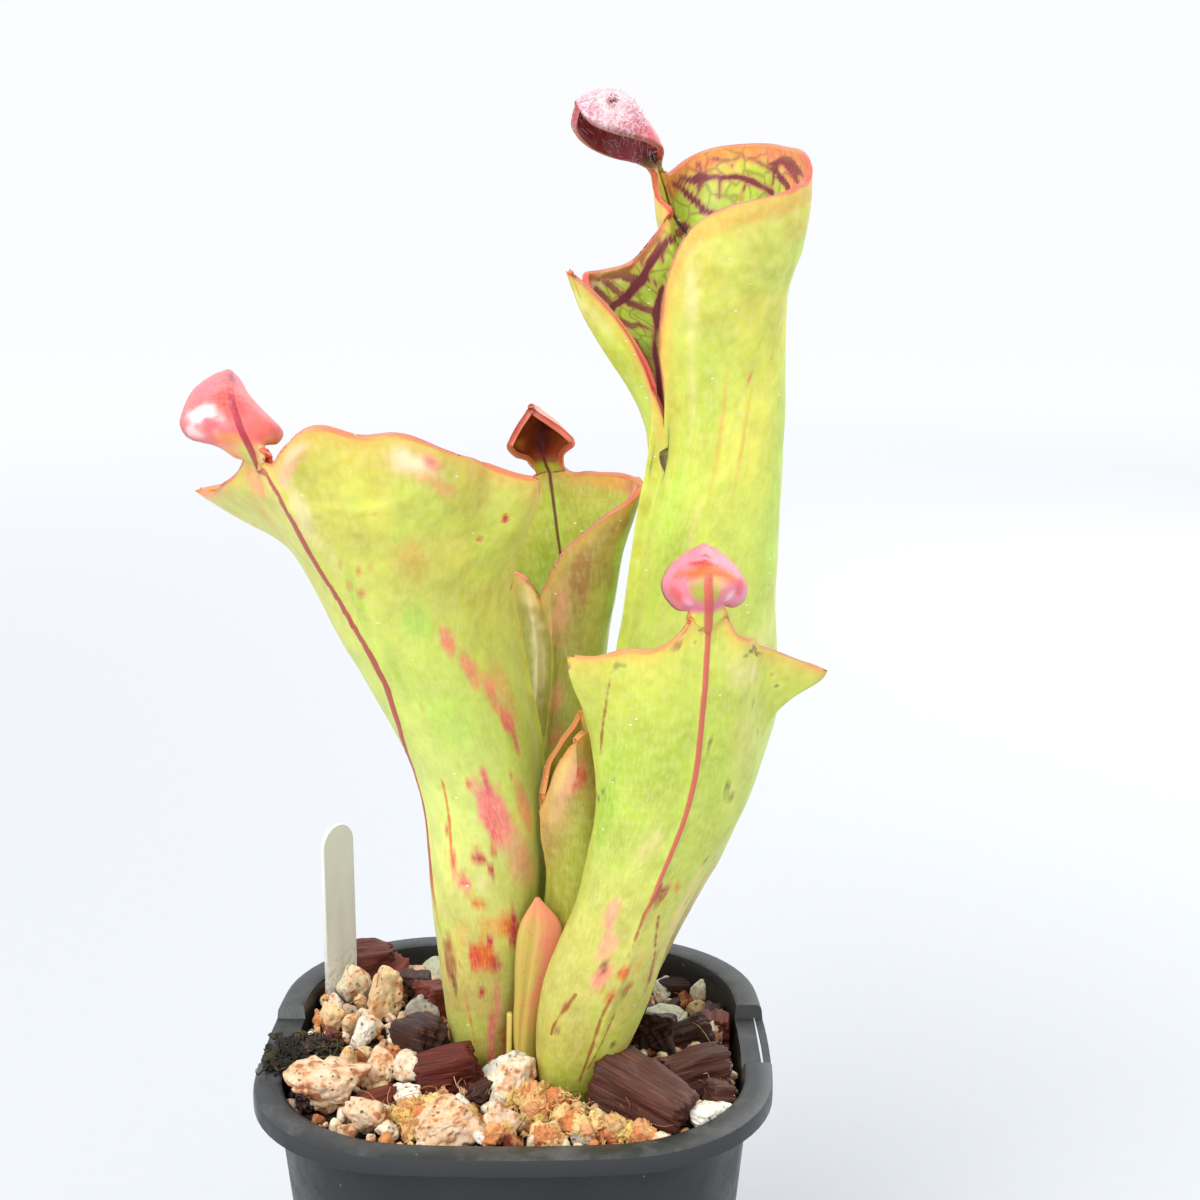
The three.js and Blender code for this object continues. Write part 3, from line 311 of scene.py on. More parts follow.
# Meshes.
class Build:
    """Collects vertices, faces and per-vertex numbers for one mesh."""

    def __init__(self):
        self.points = []
        self.faces = []
        self.values = {}
        self.count = 0

    def add(self, points, faces, **values):
        points = np.asarray(points, float).reshape(-1, 3)
        for name, value in values.items():
            shape = (len(points), 3) if name == "tint" else (len(points),)
            column = np.broadcast_to(np.asarray(value, float), shape)
            self.values.setdefault(name, []).append(column)
        self.points.append(points)
        self.faces.extend([tuple(int(i) + self.count for i in face) for face in faces])
        self.count += len(points)

    def make(self, name, material, *, replaced=(), slot=None):
        """Makes the object, in metres, with its numbers as attributes, and tells the frame about it."""
        mesh = bpy.data.meshes.new(name)
        mesh.from_pydata((np.concatenate(self.points) * MM).tolist(), [], self.faces)
        for key, chunks in self.values.items():
            data = np.concatenate(chunks)
            kind = "FLOAT_VECTOR" if data.ndim == 2 else "FLOAT"
            attribute = mesh.attributes.new(key, kind, "POINT")
            attribute.data.foreach_set("vector" if data.ndim == 2 else "value",
                                       data.ravel().astype(np.float32))
        mesh.polygons.foreach_set("use_smooth", [True] * len(mesh.polygons))
        mesh.materials.append(material)
        mesh.update()
        made = bpy.data.objects.new(name, mesh)
        bpy.context.scene.collection.objects.link(made)
        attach(made, "root")
        if replaced:
            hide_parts(*replaced)
        return made


def grid_faces(rows, columns, closed=False, start=0):
    """Quads of a grid of points, row by row."""
    faces = []
    for i in range(rows - 1):
        for j in range(columns if closed else columns - 1):
            k = (j + 1) % columns
            a = start + i * columns
            faces.append((a + j, a + k, a + columns + k, a + columns + j))
    return faces


def vertex_normals(points, faces):
    """Unit normals at the vertices of quads."""
    quads = np.array(faces)
    normal = np.cross(points[quads[:, 2]] - points[quads[:, 0]], points[quads[:, 3]] - points[quads[:, 1]])
    total = np.zeros_like(points)
    for k in range(4):
        np.add.at(total, quads[:, k], normal)
    return unit(total)


def tube(points, radii, sides=5):
    """Vertices and faces of a round tube along points, closed at its ends by fans."""
    points = np.asarray(points, float)
    radii = np.broadcast_to(radii, len(points))
    along = unit(np.gradient(points, axis=0))
    up = np.array([0.0, 0.0, 1.0])
    if abs(along[0] @ up) > 0.9:
        up = np.array([1.0, 0.0, 0.0])
    ring = []
    side = unit(np.cross(along[0], up))
    angles = np.linspace(0, 2 * np.pi, sides, endpoint=False)
    for p, t, r in zip(points, along, radii):
        side = unit(side - t * (side @ t))
        other = np.cross(t, side)
        ring.append(p + r * (np.cos(angles)[:, None] * side + np.sin(angles)[:, None] * other))
    vertices = np.concatenate(ring + [points[:1], points[-1:]])
    faces = grid_faces(len(points), sides, closed=True)
    first, last = len(vertices) - 2, len(vertices) - 1
    top = (len(points) - 1) * sides
    for j in range(sides):
        k = (j + 1) % sides
        faces.append((first, k, j))
        faces.append((last, top + j, top + k))
    return vertices, faces


# Pitcher surface, as in the CAD model.
def frame_at(leaf, t):
    """Centre of the leaf at share t of its height, and its front, side and upward directions."""
    spine = np.array(leaf["spine"], float)
    keys = even(spine)
    inside = np.clip(t, 0, 1)
    near = np.clip(t, 1e-3, 1 - 1e-3)
    along = unit(curve(keys, spine, near + 1e-3) - curve(keys, spine, near - 1e-3))
    length = np.linalg.norm(np.diff(spine, axis=0), axis=1).sum()
    centre = curve(keys, spine, inside) + along * np.maximum(t - 1, 0)[..., None] * length
    yaw = np.radians(leaf["yaw"] + curve(keys, leaf["twist"], inside))
    front = np.stack([np.cos(yaw), np.sin(yaw), 0 * yaw], -1)
    front = unit(front - along * (front * along).sum(-1)[..., None])
    return centre, front, np.cross(along, front), along


def of_side(leaf, phi, key):
    return np.where(phi >= 0, leaf["s"][key], leaf["n"][key])


def bumps(leaf, phi, key):
    """Bumps of the rim: angle, width, rise and reach."""
    total = 0 * phi
    for angle, width, *by in leaf["rim"]:
        away = (phi - math.radians(angle) + np.pi) % (2 * np.pi) - np.pi
        total = total + by[key] * np.exp(-((away / math.radians(width)) ** 2))
    return total


def rim_share(leaf, phi):
    """Height of the rim at phi, as a share of the spine."""
    a = np.abs(phi)
    peak = np.radians(of_side(leaf, phi, "angle"))
    height = of_side(leaf, phi, "height")
    front = leaf["slit"] + (height - leaf["slit"]) * np.clip(a / peak, 0, 1) ** of_side(leaf, phi, "margin")
    back = np.clip((a - peak) / (np.pi - peak), 0, 1)
    rear = height + (1 - height) * smooth(back) - of_side(leaf, phi, "dip") * np.sin(np.pi * back)
    half = math.radians(leaf["neck"]["half_angle"])
    away = np.maximum(np.pi - a - half, 0)
    towards_s = np.clip(0.5 + (np.pi - a) * np.where(phi >= 0, 1, -1) / (2 * half), 0, 1)
    fillet = leaf["neck"]["fillet_n"] + (leaf["neck"]["fillet_s"] - leaf["neck"]["fillet_n"]) * towards_s
    fillet = fillet * np.exp(-away / math.radians(leaf["neck"]["fillet_angle"]))
    return np.where(a > peak, rear, front) + fillet + bumps(leaf, phi, 0)


def flare(leaf, phi):
    """How far the rim reaches outward and droops at phi, in mm."""
    a = np.abs(phi)
    peak = np.radians(of_side(leaf, phi, "angle"))
    reach = of_side(leaf, phi, "reach")
    spread = np.radians(of_side(leaf, phi, "spread"))
    back = leaf["lip"] + (reach - leaf["lip"]) * np.exp(-np.maximum(a - peak, 0) / spread)
    fall = np.exp(-np.maximum(peak - a, 0) / np.radians(of_side(leaf, phi, "front_spread")))
    front = (0.6 + (reach - 0.6) * fall) * np.clip(a / math.radians(8), 0, 1)
    free = 1 - np.exp(-(((np.pi - a) / math.radians(24)) ** 2))
    droop = of_side(leaf, phi, "droop") * np.exp(-np.abs(a - peak) / spread)
    return np.where(a >= peak, back, front) * free, droop * free


def wall(leaf, phi, v, fine=True):
    """Outer surface at angle phi round from the slit, v from 0 at the base to 1 at the rim."""
    t = v * rim_share(leaf, phi)
    centre, front, side, along = frame_at(leaf, t)
    inside = np.clip(t, 0, 1)
    half = curve(STATIONS, leaf["half_width"], inside)
    turned = phi + math.radians(leaf["skew"]) * smooth((t - 0.5) / 0.5) ** 1.5 * (1 - np.cos(phi)) / 2
    c, s = np.cos(turned), np.sin(turned)
    depth = np.where(c >= 0, curve(STATIONS, leaf["front_depth"], inside),
                     curve(STATIONS, leaf["back_depth"], inside))
    reach, droop = flare(leaf, phi)
    flared = smooth((v - 0.62) / 0.38) ** leaf["flare"]
    reach = reach + bumps(leaf, phi, 1) * flared**2
    if fine:
        # The rim's own gentle waves.
        reach = reach + leaf["rim_wave"] * np.sin(7 * phi + 1) * flared
        droop = droop + leaf["rim_wave"] * np.sin(11 * phi) * 0.8
    point = centre + front * ((depth + reach * flared) * c)[..., None]
    point = point + side * ((half + reach * flared) * s)[..., None]
    point = point - along * (droop * flared)[..., None]
    fade = smooth(t / 0.15) * (1 - smooth((v - 0.86) / 0.14))
    bump = sum(np.exp(-(((phi - a) / math.radians(4)) ** 2)) for a in np.radians([-WING_ANGLE, WING_ANGLE]))
    if fine:
        point = point + front * (leaf["wing"] * fade * bump)[..., None]
    point[..., 2] += (LEAF_BASE_Z - point[..., 2]) * (1 - smooth(v / 0.07))
    return point


def tab_keys(leaf, foot):
    """Stations of neck and hood with the rim first, and their places from 0 to 1 along the ridge."""
    stations = np.array([foot] + leaf["tab"], float)
    steps = np.linalg.norm(np.diff(stations[:, 1], axis=0), axis=1)
    return stations, np.concatenate([[0], np.cumsum(steps)]) / steps.sum()


def tab_surface(leaf, across, q, foot):
    """Neck and hood: across from -1 (s side) to 1, q from 0 to 1 along; foot is the wall's rim below."""
    half = math.radians(leaf["neck"]["half_angle"])
    rim = wall(leaf, np.array([np.pi - half, np.pi, -np.pi + half]), np.ones(3), False)
    stations, keys = tab_keys(leaf, rim.tolist())
    margin_s, ridge, margin_n = (curve(keys, stations[:, k], q) for k in range(3))
    turn = -across * np.pi / 2
    middle = (margin_s + margin_n) / 2
    strip = ridge + (margin_s - margin_n) / 2 * np.sin(turn)[..., None]
    strip = strip + (middle - ridge) * (1 - np.cos(turn))[..., None]
    blend = smooth(q / keys[1])[..., None]
    return foot * (1 - blend) + strip * blend


def spaced(low, high, count, peaks):
    """count steps from low to high, closer together near the peaks (place, width, weight)."""
    x = np.linspace(low, high, 2000)
    density = 1 + sum(weight * np.exp(-(((x - place) / width) ** 2)) for place, width, weight in peaks)
    total = np.concatenate([[0], np.cumsum((density[1:] + density[:-1]) / 2)])
    return np.interp(np.linspace(0, total[-1], count + 1), total, x)


def linear(colours):
    """Linear values of sRGB colours, 0 to 255."""
    c = np.asarray(colours, float) / 255
    return np.where(c <= 0.04045, c / 12.92, ((c + 0.055) / 1.055) ** 2.4)


def dabbed(base, dabs, x, y, uneven, wrap=False):
    """Base colours with dabs painted over: place x and y, reach in x and y, strength, softness and colour."""
    for at_x, at_y, reach_x, reach_y, strength, soft, colour in dabs:
        away = x - at_x
        if wrap:
            away = (away + 180) % 360 - 180
        near = np.exp(-((away / reach_x) ** 2) - ((y - at_y) / reach_y) ** 2)
        amount = strength * smooth((near + 0.5 * (1 - 0.5 * soft) * uneven - 0.28) / (0.12 + 0.7 * soft))
        base = base + (np.array(PAINTS[colour]) - base) * amount[:, None]
    return base


def graded(stops, x):
    """Colours at x between stops of (place, colour)."""
    places = [place for place, _ in stops]
    return np.stack([np.interp(x, places, [colour[k] for _, colour in stops]) for k in range(3)], -1)


def painted(skin, points, phi, up, across, inside):
    """Colour of each vertex of one face of a leaf, linear."""
    broad, middle, fine = noise(points, 11, 13), noise(points, 3.6, 11), noise(points, 1.4, 12)
    uneven = 0.6 * middle + 0.5 * fine
    side = "inner" if inside else "outer"
    low = np.clip(up, 0, 1)
    base = graded(skin[side], low + 0.03 * broad + 0.012 * middle)
    if not inside:
        fresh = 0.5 * smooth((0.7 * broad + 0.35 * middle + 0.05) / 0.55)
        base = base + (np.array(skin["fresh"]) - base) * fresh[:, None]
    base = dabbed(base, skin.get(side + "_dabs", ()), np.degrees(phi), low, uneven, wrap=True)
    q = up - 1
    if np.any(q > 0):
        neck_share = skin["hood_from"]
        end = "_in" if inside else ""
        neck, hood, dabs = skin["neck" + end], skin["hood" + end], skin.get("tab_dabs" + end, ())
        ends, starts = (0.7, 1.0) if inside else (0.9, 1.2)
        tab = graded([(0, neck), (neck_share * ends, neck), (neck_share * starts, hood), (1, hood)], q)
        tab = dabbed(tab, dabs, across, q, uneven)
        base = base + (tab - base) * smooth(q / (0.6 * neck_share))[:, None]
    base = base * (1 + 0.05 * middle + 0.04 * fine)[:, None]
    return linear(np.clip(base, 0, 255))


def line_distance(leaf, lines, points, depth=0.0):
    """Distance in mm from each point, depth below the wall, to the nearest line's edge.

    Lines are (half-width, places on the wall)."""
    steps_per_place = 30
    spots, widths = [], []
    for wide, places in lines:
        turns, heights = np.array(places, float).T
        keys = np.arange(len(places))
        fine = np.linspace(0, len(places) - 1, steps_per_place * len(places))
        turn = (np.interp(fine, keys, np.unwrap(turns, period=360)) + 180) % 360 - 180
        spots.append(wall(leaf, np.radians(turn), np.interp(fine, keys, heights), False))
        widths.append(wide * (1 - 0.25 * fine / fine[-1]))
    best = np.full(len(points), FAR)
    if not spots:
        return best
    spots, widths = np.concatenate(spots), np.concatenate(widths)
    for start in range(0, len(points), 2000):
        chunk = points[start:start + 2000]
        gap = ((chunk[:, None] - spots[None]) ** 2).sum(2) - depth**2
        gap = np.sqrt(np.maximum(gap, 0)) - widths[None]
        best[start:start + 2000] = np.minimum(gap.min(1), FAR)
    return best


def column_angles(leaf, half):
    """Angles of the wall's columns, close together at wings and corners, and the neck's first."""
    front_count, side_count, tab_count = leaf["columns"]

    def one_side(key):
        wing = (math.radians(WING_ANGLE), math.radians(6), 3.0)
        tip = (0.0, math.radians(4), 2.0)
        near = (math.radians(leaf[key]["angle"]), math.radians(14), 1.2)
        return spaced(0, np.pi - half, front_count + side_count, [wing, tip, near])

    s, n = one_side("s"), one_side("n")
    middle = np.pi - half + 2 * half * np.arange(1, tab_count) / tab_count
    middle = np.where(middle > np.pi + 1e-9, middle - 2 * np.pi, middle)
    return np.concatenate([s, middle, -n[::-1][:-1]]), len(s) - 1


def walked(points, axis):
    """Distance walked along a grid of points from its first row (axis 0) or column (axis 1)."""
    steps = np.linalg.norm(np.diff(points, axis=axis), axis=2)
    return np.concatenate([0 * steps.take([0], axis), np.cumsum(steps, axis)], axis)


class Sheet:
    """A leaf's outer skin, wall and neck in one, with numbers for each of its points."""

    def __init__(self, leaf, hood_from):
        half = math.radians(leaf["neck"]["half_angle"])
        self.rows, self.tab_rows, self.tab_count = leaf["rows"], leaf["tab_rows"], leaf["columns"][2]
        angles, self.first = column_angles(leaf, half)
        self.count = len(angles)
        v, phi = np.meshgrid(spaced(0, 1, self.rows, [(0.96, 0.08, 3.0)]), angles, indexing="ij")
        grid = wall(leaf, phi.ravel(), v.ravel()).reshape(self.rows + 1, self.count, 3)
        shares = np.arange(1, self.tab_rows + 1) / self.tab_rows
        x, q = np.meshgrid(np.linspace(-1, 1, self.tab_count + 1), shares)
        neck = slice(self.first, self.first + self.tab_count + 1)
        tab = tab_surface(leaf, x, q, np.broadcast_to(grid[-1, neck], x.shape + (3,)))
        self.points = np.concatenate([grid.reshape(-1, 3), tab.reshape(-1, 3)])
        self.measure(grid, np.concatenate([grid[-1:, neck], tab], 0), neck)
        self.up = np.concatenate([v.ravel(), 1 + q.ravel()])
        tab_phi = np.pi + x * half
        tab_phi = np.where(tab_phi > np.pi, tab_phi - 2 * np.pi, tab_phi)
        self.turn = np.concatenate([phi.ravel(), tab_phi.ravel()])
        self.hooded = np.concatenate([np.zeros(v.size), smooth(q / hood_from * 0.85).ravel()])
        self.across = np.concatenate([np.zeros(v.size), x.ravel()])
        self.join()

    def measure(self, grid, whole_tab, neck):
        """Distances on the surface: arc round from the midrib, run up from the base."""
        middle = self.tab_count // 2
        round_wall, round_tab, run_wall = walked(grid, 1), walked(whole_tab, 1), walked(grid, 0)
        arc_wall = round_wall - round_wall[:, self.first + middle][:, None]
        arc_tab = (round_tab - round_tab[:, middle][:, None])[1:]
        run_tab = run_wall[-1, neck] + walked(whole_tab, 0)[1:]
        self.arc = np.concatenate([arc_wall.ravel(), arc_tab.ravel()])
        self.run = np.concatenate([run_wall.ravel(), run_tab.ravel()])

    def join(self):
        """Faces of the sheet, and the loop of points along its rim."""
        top, width = self.rows * self.count, self.tab_count + 1
        tab_ids = [[top + self.first + m for m in range(width)]]
        for k in range(self.tab_rows):
            tab_ids.append([top + self.count + k * width + m for m in range(width)])
        self.faces = grid_faces(self.rows + 1, self.count, closed=True)
        for low, high in zip(tab_ids[:-1], tab_ids[1:]):
            for m in range(self.tab_count):
                self.faces.append((low[m], low[m + 1], high[m + 1], high[m]))
        loop = [top + j for j in range(self.first + 1)]
        loop += [ids[0] for ids in tab_ids[1:]]
        loop += tab_ids[-1][1:]
        loop += [ids[-1] for ids in tab_ids[-2::-1]]
        loop += [top + j for j in range(self.first + width, self.count)]
        self.loop = np.array(loop)

    def raise_rib(self, leaf, rib_line):
        """Gentle unevenness and the raised midrib, which may wander off the middle of the wall."""
        self.rib = np.abs(self.arc)
        if rib_line:
            wall_rib = line_distance(leaf, [(0, rib_line)], self.points, 0.5)
            self.rib = np.where(self.up > 1, self.rib, wall_rib)
        ridge = MIDRIB_HEIGHT * np.exp(-((self.rib / MIDRIB_REACH) ** 2)) * smooth((self.up - 0.12) / 0.2)
        lumps = BROAD_LUMPS * noise(self.points, 9.0, 3) + FINE_LUMPS * noise(self.points, 2.4, 5)
        height = ridge + lumps * smooth(self.up / 0.1)
        self.points = self.points + vertex_normals(self.points, self.faces) * height[:, None]

    def rim_distance(self):
        tree = kdtree.KDTree(len(self.loop))
        for i, p in enumerate(self.points[self.loop]):
            tree.insert(p, i)
        tree.balance()
        return np.array([tree.find(p)[2] for p in self.points])

    def skin_faces(self):
        """Faces of outside, lining and rounded rim, with fans that close the foot.

        They count the points of outside and lining, of the rim's rounds and two middles at the foot."""
        total, count, rim_count, rounds = len(self.points), self.count, len(self.loop), len(RIM_ROUND)
        faces = list(self.faces)
        faces += [tuple(total + i for i in reversed(f)) for f in self.faces if min(f) >= count]
        starts = [2 * total + k * rim_count for k in range(rounds)]
        rings = [list(range(at, at + rim_count)) for at in starts]
        ids = [list(self.loop)] + rings + [list(total + self.loop)]
        for low, high in zip(ids[:-1], ids[1:]):
            for i in range(rim_count):
                j = (i + 1) % rim_count
                faces.append((low[i], low[j], high[j], high[i]))
        foot = 2 * total + rounds * rim_count
        for j in range(count):
            k = (j + 1) % count
            faces.append((foot, k, j))
            faces.append((foot + 1, total + count + j, total + count + k))
        return faces


def make_pitcher(name, leaf, skin, material):
    """A leaf: outside, a lining under it and a rim, thickened to a small bead, between them."""
    sheet = Sheet(leaf, skin["hood_from"])
    sheet.raise_rib(leaf, skin.get("rib_line"))
    points, loop, up, count, total = sheet.points, sheet.loop, sheet.up, sheet.count, len(sheet.points)
    normals = vertex_normals(points, sheet.faces)
    edge = sheet.rim_distance()
    bead = BEAD_HEIGHT * np.exp(-((edge / BEAD_REACH) ** 2))
    thick = LEAF_WALL + (RIM_WALL - LEAF_WALL) * np.clip(up, 0, 1)
    outer = points + normals * bead[:, None]
    inner = points - normals * (thick + bead)[:, None]
    ahead = np.roll(points[loop], -1, 0) - np.roll(points[loop], 1, 0)
    outward = unit(np.cross(ahead, normals[loop]))
    mid = (outer[loop] + inner[loop]) / 2
    wide = (thick + 2 * bead)[loop][:, None]
    rims = [mid + normals[loop] * wide * level + outward * wide * out for level, out in RIM_ROUND]

    # The lining starts one row up; its lowest row isn't used.
    feet = [outer[:count].mean(0)[None], inner[count:2 * count].mean(0)[None]]
    vertices = np.concatenate([outer, inner] + rims + feet)
    used = np.ones(len(vertices), bool)
    used[total:total + count] = False
    index = np.cumsum(used) - 1
    faces = [tuple(int(index[i]) for i in f) for f in sheet.skin_faces()]

    def spread_out(outside, lining, at_rim, ends=0.0):
        """One number for every vertex used."""
        tail = np.broadcast_to(ends, (2,) + outside.shape[1:])
        return np.concatenate([outside, lining] + [at_rim] * len(RIM_ROUND) + [tail])[used]

    def alike(value):
        return spread_out(value, value, value[loop])

    inwards = [np.full(len(loop), share) for share in even(RIM_ROUND)]
    inside = np.concatenate([np.zeros(total), np.ones(total)] + inwards + [[0.0, 1.0]])[used]
    outer_paint = painted(skin, outer, sheet.turn, up, sheet.across, False)
    inner_paint = painted(skin, inner, sheet.turn, up, sheet.across, True)
    far = np.full(total, FAR)
    veins = line_distance(leaf, skin.get("veins", ()), inner, LEAF_WALL + 0.05)
    scars = line_distance(leaf, skin.get("scars", ()), outer)
    build = Build()
    build.add(vertices[used], faces, tint=spread_out(outer_paint, inner_paint, outer_paint[loop]),
              inside=inside,
              run=alike(sheet.run), up=alike(up), around=alike(sheet.turn / np.pi),
              hooded=alike(sheet.hooded),
              edge=spread_out(edge, edge, np.zeros(len(loop)), 30.0), rib=alike(sheet.rib),
              vein=spread_out(far, veins, far[loop]), scar=spread_out(scars, far, scars[loop]))
    return build.make(name + "_leaf", material, replaced=(name,), slot="pitcher_leaf")


# Materials.
def tone(red, green, blue):
    """Linear colour of an sRGB one, 0 to 255."""
    values = [c / 255 for c in (red, green, blue)]
    return tuple(c / 12.92 if c <= 0.04045 else ((c + 0.055) / 1.055) ** 2.4 for c in values)


class Look:
    """A material's node tree, with short names for the nodes used most."""

    def __init__(self, name, **settings):
        self.material = bpy.data.materials.new(name)
        self.material.use_nodes = True
        self.nodes = self.material.node_tree.nodes
        self.links = self.material.node_tree.links
        self.shader = self.nodes["Principled BSDF"]
        for key, value in settings.items():
            self.put(self.shader.inputs[key.replace("_", " ")], value)
        self.place = self.node("ShaderNodeTexCoord", "Object")

    def put(self, socket, value):
        """Links a socket to a node's output, or sets it."""
        if isinstance(value, bpy.types.NodeSocket):
            self.links.new(value, socket)
        elif socket.type == "RGBA":
            socket.default_value = (*value, 1)
        else:
            socket.default_value = value

    def node(self, kind, out=0, inputs=None, **properties):
        """Adds a node and gives one of its outputs."""
        made = self.nodes.new(kind)
        for key, value in properties.items():
            setattr(made, key, value)
        for key, value in (inputs or {}).items():
            self.put(made.inputs[key], value)
        return made.outputs[out]

    def value(self, name):
        """A number that the mesh holds."""
        return self.node("ShaderNodeAttribute", "Fac", attribute_name=name)

    def colour(self, name):
        return self.node("ShaderNodeAttribute", "Vector", attribute_name=name)

    def maths(self, operation, a, b=0.0, c=0.0):
        return self.node("ShaderNodeMath", 0, {0: a, 1: b, 2: c}, operation=operation)

    def times(self, a, b):
        return self.maths("MULTIPLY", a, b)

    def plus(self, a, b):
        return self.maths("ADD", a, b)

    def rest(self, a):
        return self.maths("SUBTRACT", 1.0, a)

    def swing(self, value, reach):
        """value from 0 to 1 as one from half of -reach to half of reach."""
        return self.times(self.maths("SUBTRACT", value, 0.5), reach)

    def mix(self, factor, a, b, blend="MIX"):
        return self.node("ShaderNodeMix", 2, {0: factor, 6: a, 7: b}, data_type="RGBA", blend_type=blend)

    def vector(self, x, y, z=0.0):
        return self.node("ShaderNodeCombineXYZ", 0, {0: x, 1: y, 2: z})

    def stretched(self, x, y, z):
        return self.node("ShaderNodeVectorMath", 0, {0: self.place, 1: (x, y, z)}, operation="MULTIPLY")

    def noise(self, scale, detail=3.0, roughness=0.55, place=None):
        inputs = {"Vector": place or self.place, "Scale": scale, "Detail": detail, "Roughness": roughness}
        return self.node("ShaderNodeTexNoise", "Fac", inputs)

    def cells(self, scale, place=None, feature="DISTANCE_TO_EDGE", randomness=1.0, flat=False):
        inputs = {"Vector": place or self.place, "Scale": scale, "Randomness": randomness}
        return self.node("ShaderNodeTexVoronoi", "Distance", inputs, feature=feature,
                         voronoi_dimensions="2D" if flat else "3D")

    def span(self, value, low, high, to_low=0.0, to_high=1.0, soft=True):
        """Maps low..high to to_low..to_high, held at the ends."""
        inputs = {"Value": value, "From Min": low, "From Max": high, "To Min": to_low, "To Max": to_high}
        return self.node("ShaderNodeMapRange", 0, inputs,
                         interpolation_type="SMOOTHSTEP" if soft else "LINEAR")

    def ramp(self, factor, stops):
        """Colour at factor between stops of (place, sRGB colour)."""
        made = self.nodes.new("ShaderNodeValToRGB")
        while len(made.color_ramp.elements) < len(stops):
            made.color_ramp.elements.new(0.5)
        for element, (place, colour) in zip(made.color_ramp.elements, stops):
            element.position = place
            element.color = (*tone(*colour), 1)
        self.links.new(factor, made.inputs[0])
        return made.outputs[0]

    def bump(self, height, distance, strength=1.0, under=None):
        inputs = {"Height": height, "Distance": distance, "Strength": strength}
        if under is not None:
            inputs["Normal"] = under
        return self.node("ShaderNodeBump", 0, inputs)

    def cover(self, factor, colour, blend="MIX"):
        """Lays an sRGB colour over the shade so far."""
        self.shade = self.mix(factor, self.shade, tone(*colour), blend)

    def finish(self, **outputs):
        """Sets the shader's sockets, named with underscores, and gives the material."""
        self.put(self.shader.inputs["Base Color"], self.shade)
        for key, value in outputs.items():
            self.put(self.shader.inputs[key.replace("_", " ")], value)
        return self.material


# Paints, sRGB.
PAINTS = {
    "coral": (250, 112, 92), "salmon": (240, 142, 108), "pink": (240, 122, 128), "blush": (236, 160, 136),
    "rose": (232, 96, 108), "scarlet": (238, 78, 70), "plum": (140, 56, 78), "orchid": (214, 112, 134),
    "crimson": (192, 30, 62), "red": (206, 58, 50), "orange": (220, 104, 42), "amber": (226, 160, 76),
    "brown": (158, 84, 42), "dark": (104, 46, 26), "soot": (44, 34, 20), "cream": (244, 228, 180),
    "ivory": (250, 240, 214), "green": (176, 218, 80), "moss": (156, 190, 54), "lime": (196, 222, 84),
    "yellow": (236, 224, 96), "straw": (222, 206, 132), "maroon": (92, 18, 44), "wine": (122, 30, 52),
    "mauve": (214, 160, 172), "olive": (176, 172, 70), "frost": (250, 232, 232), "peach": (246, 190, 150),
}
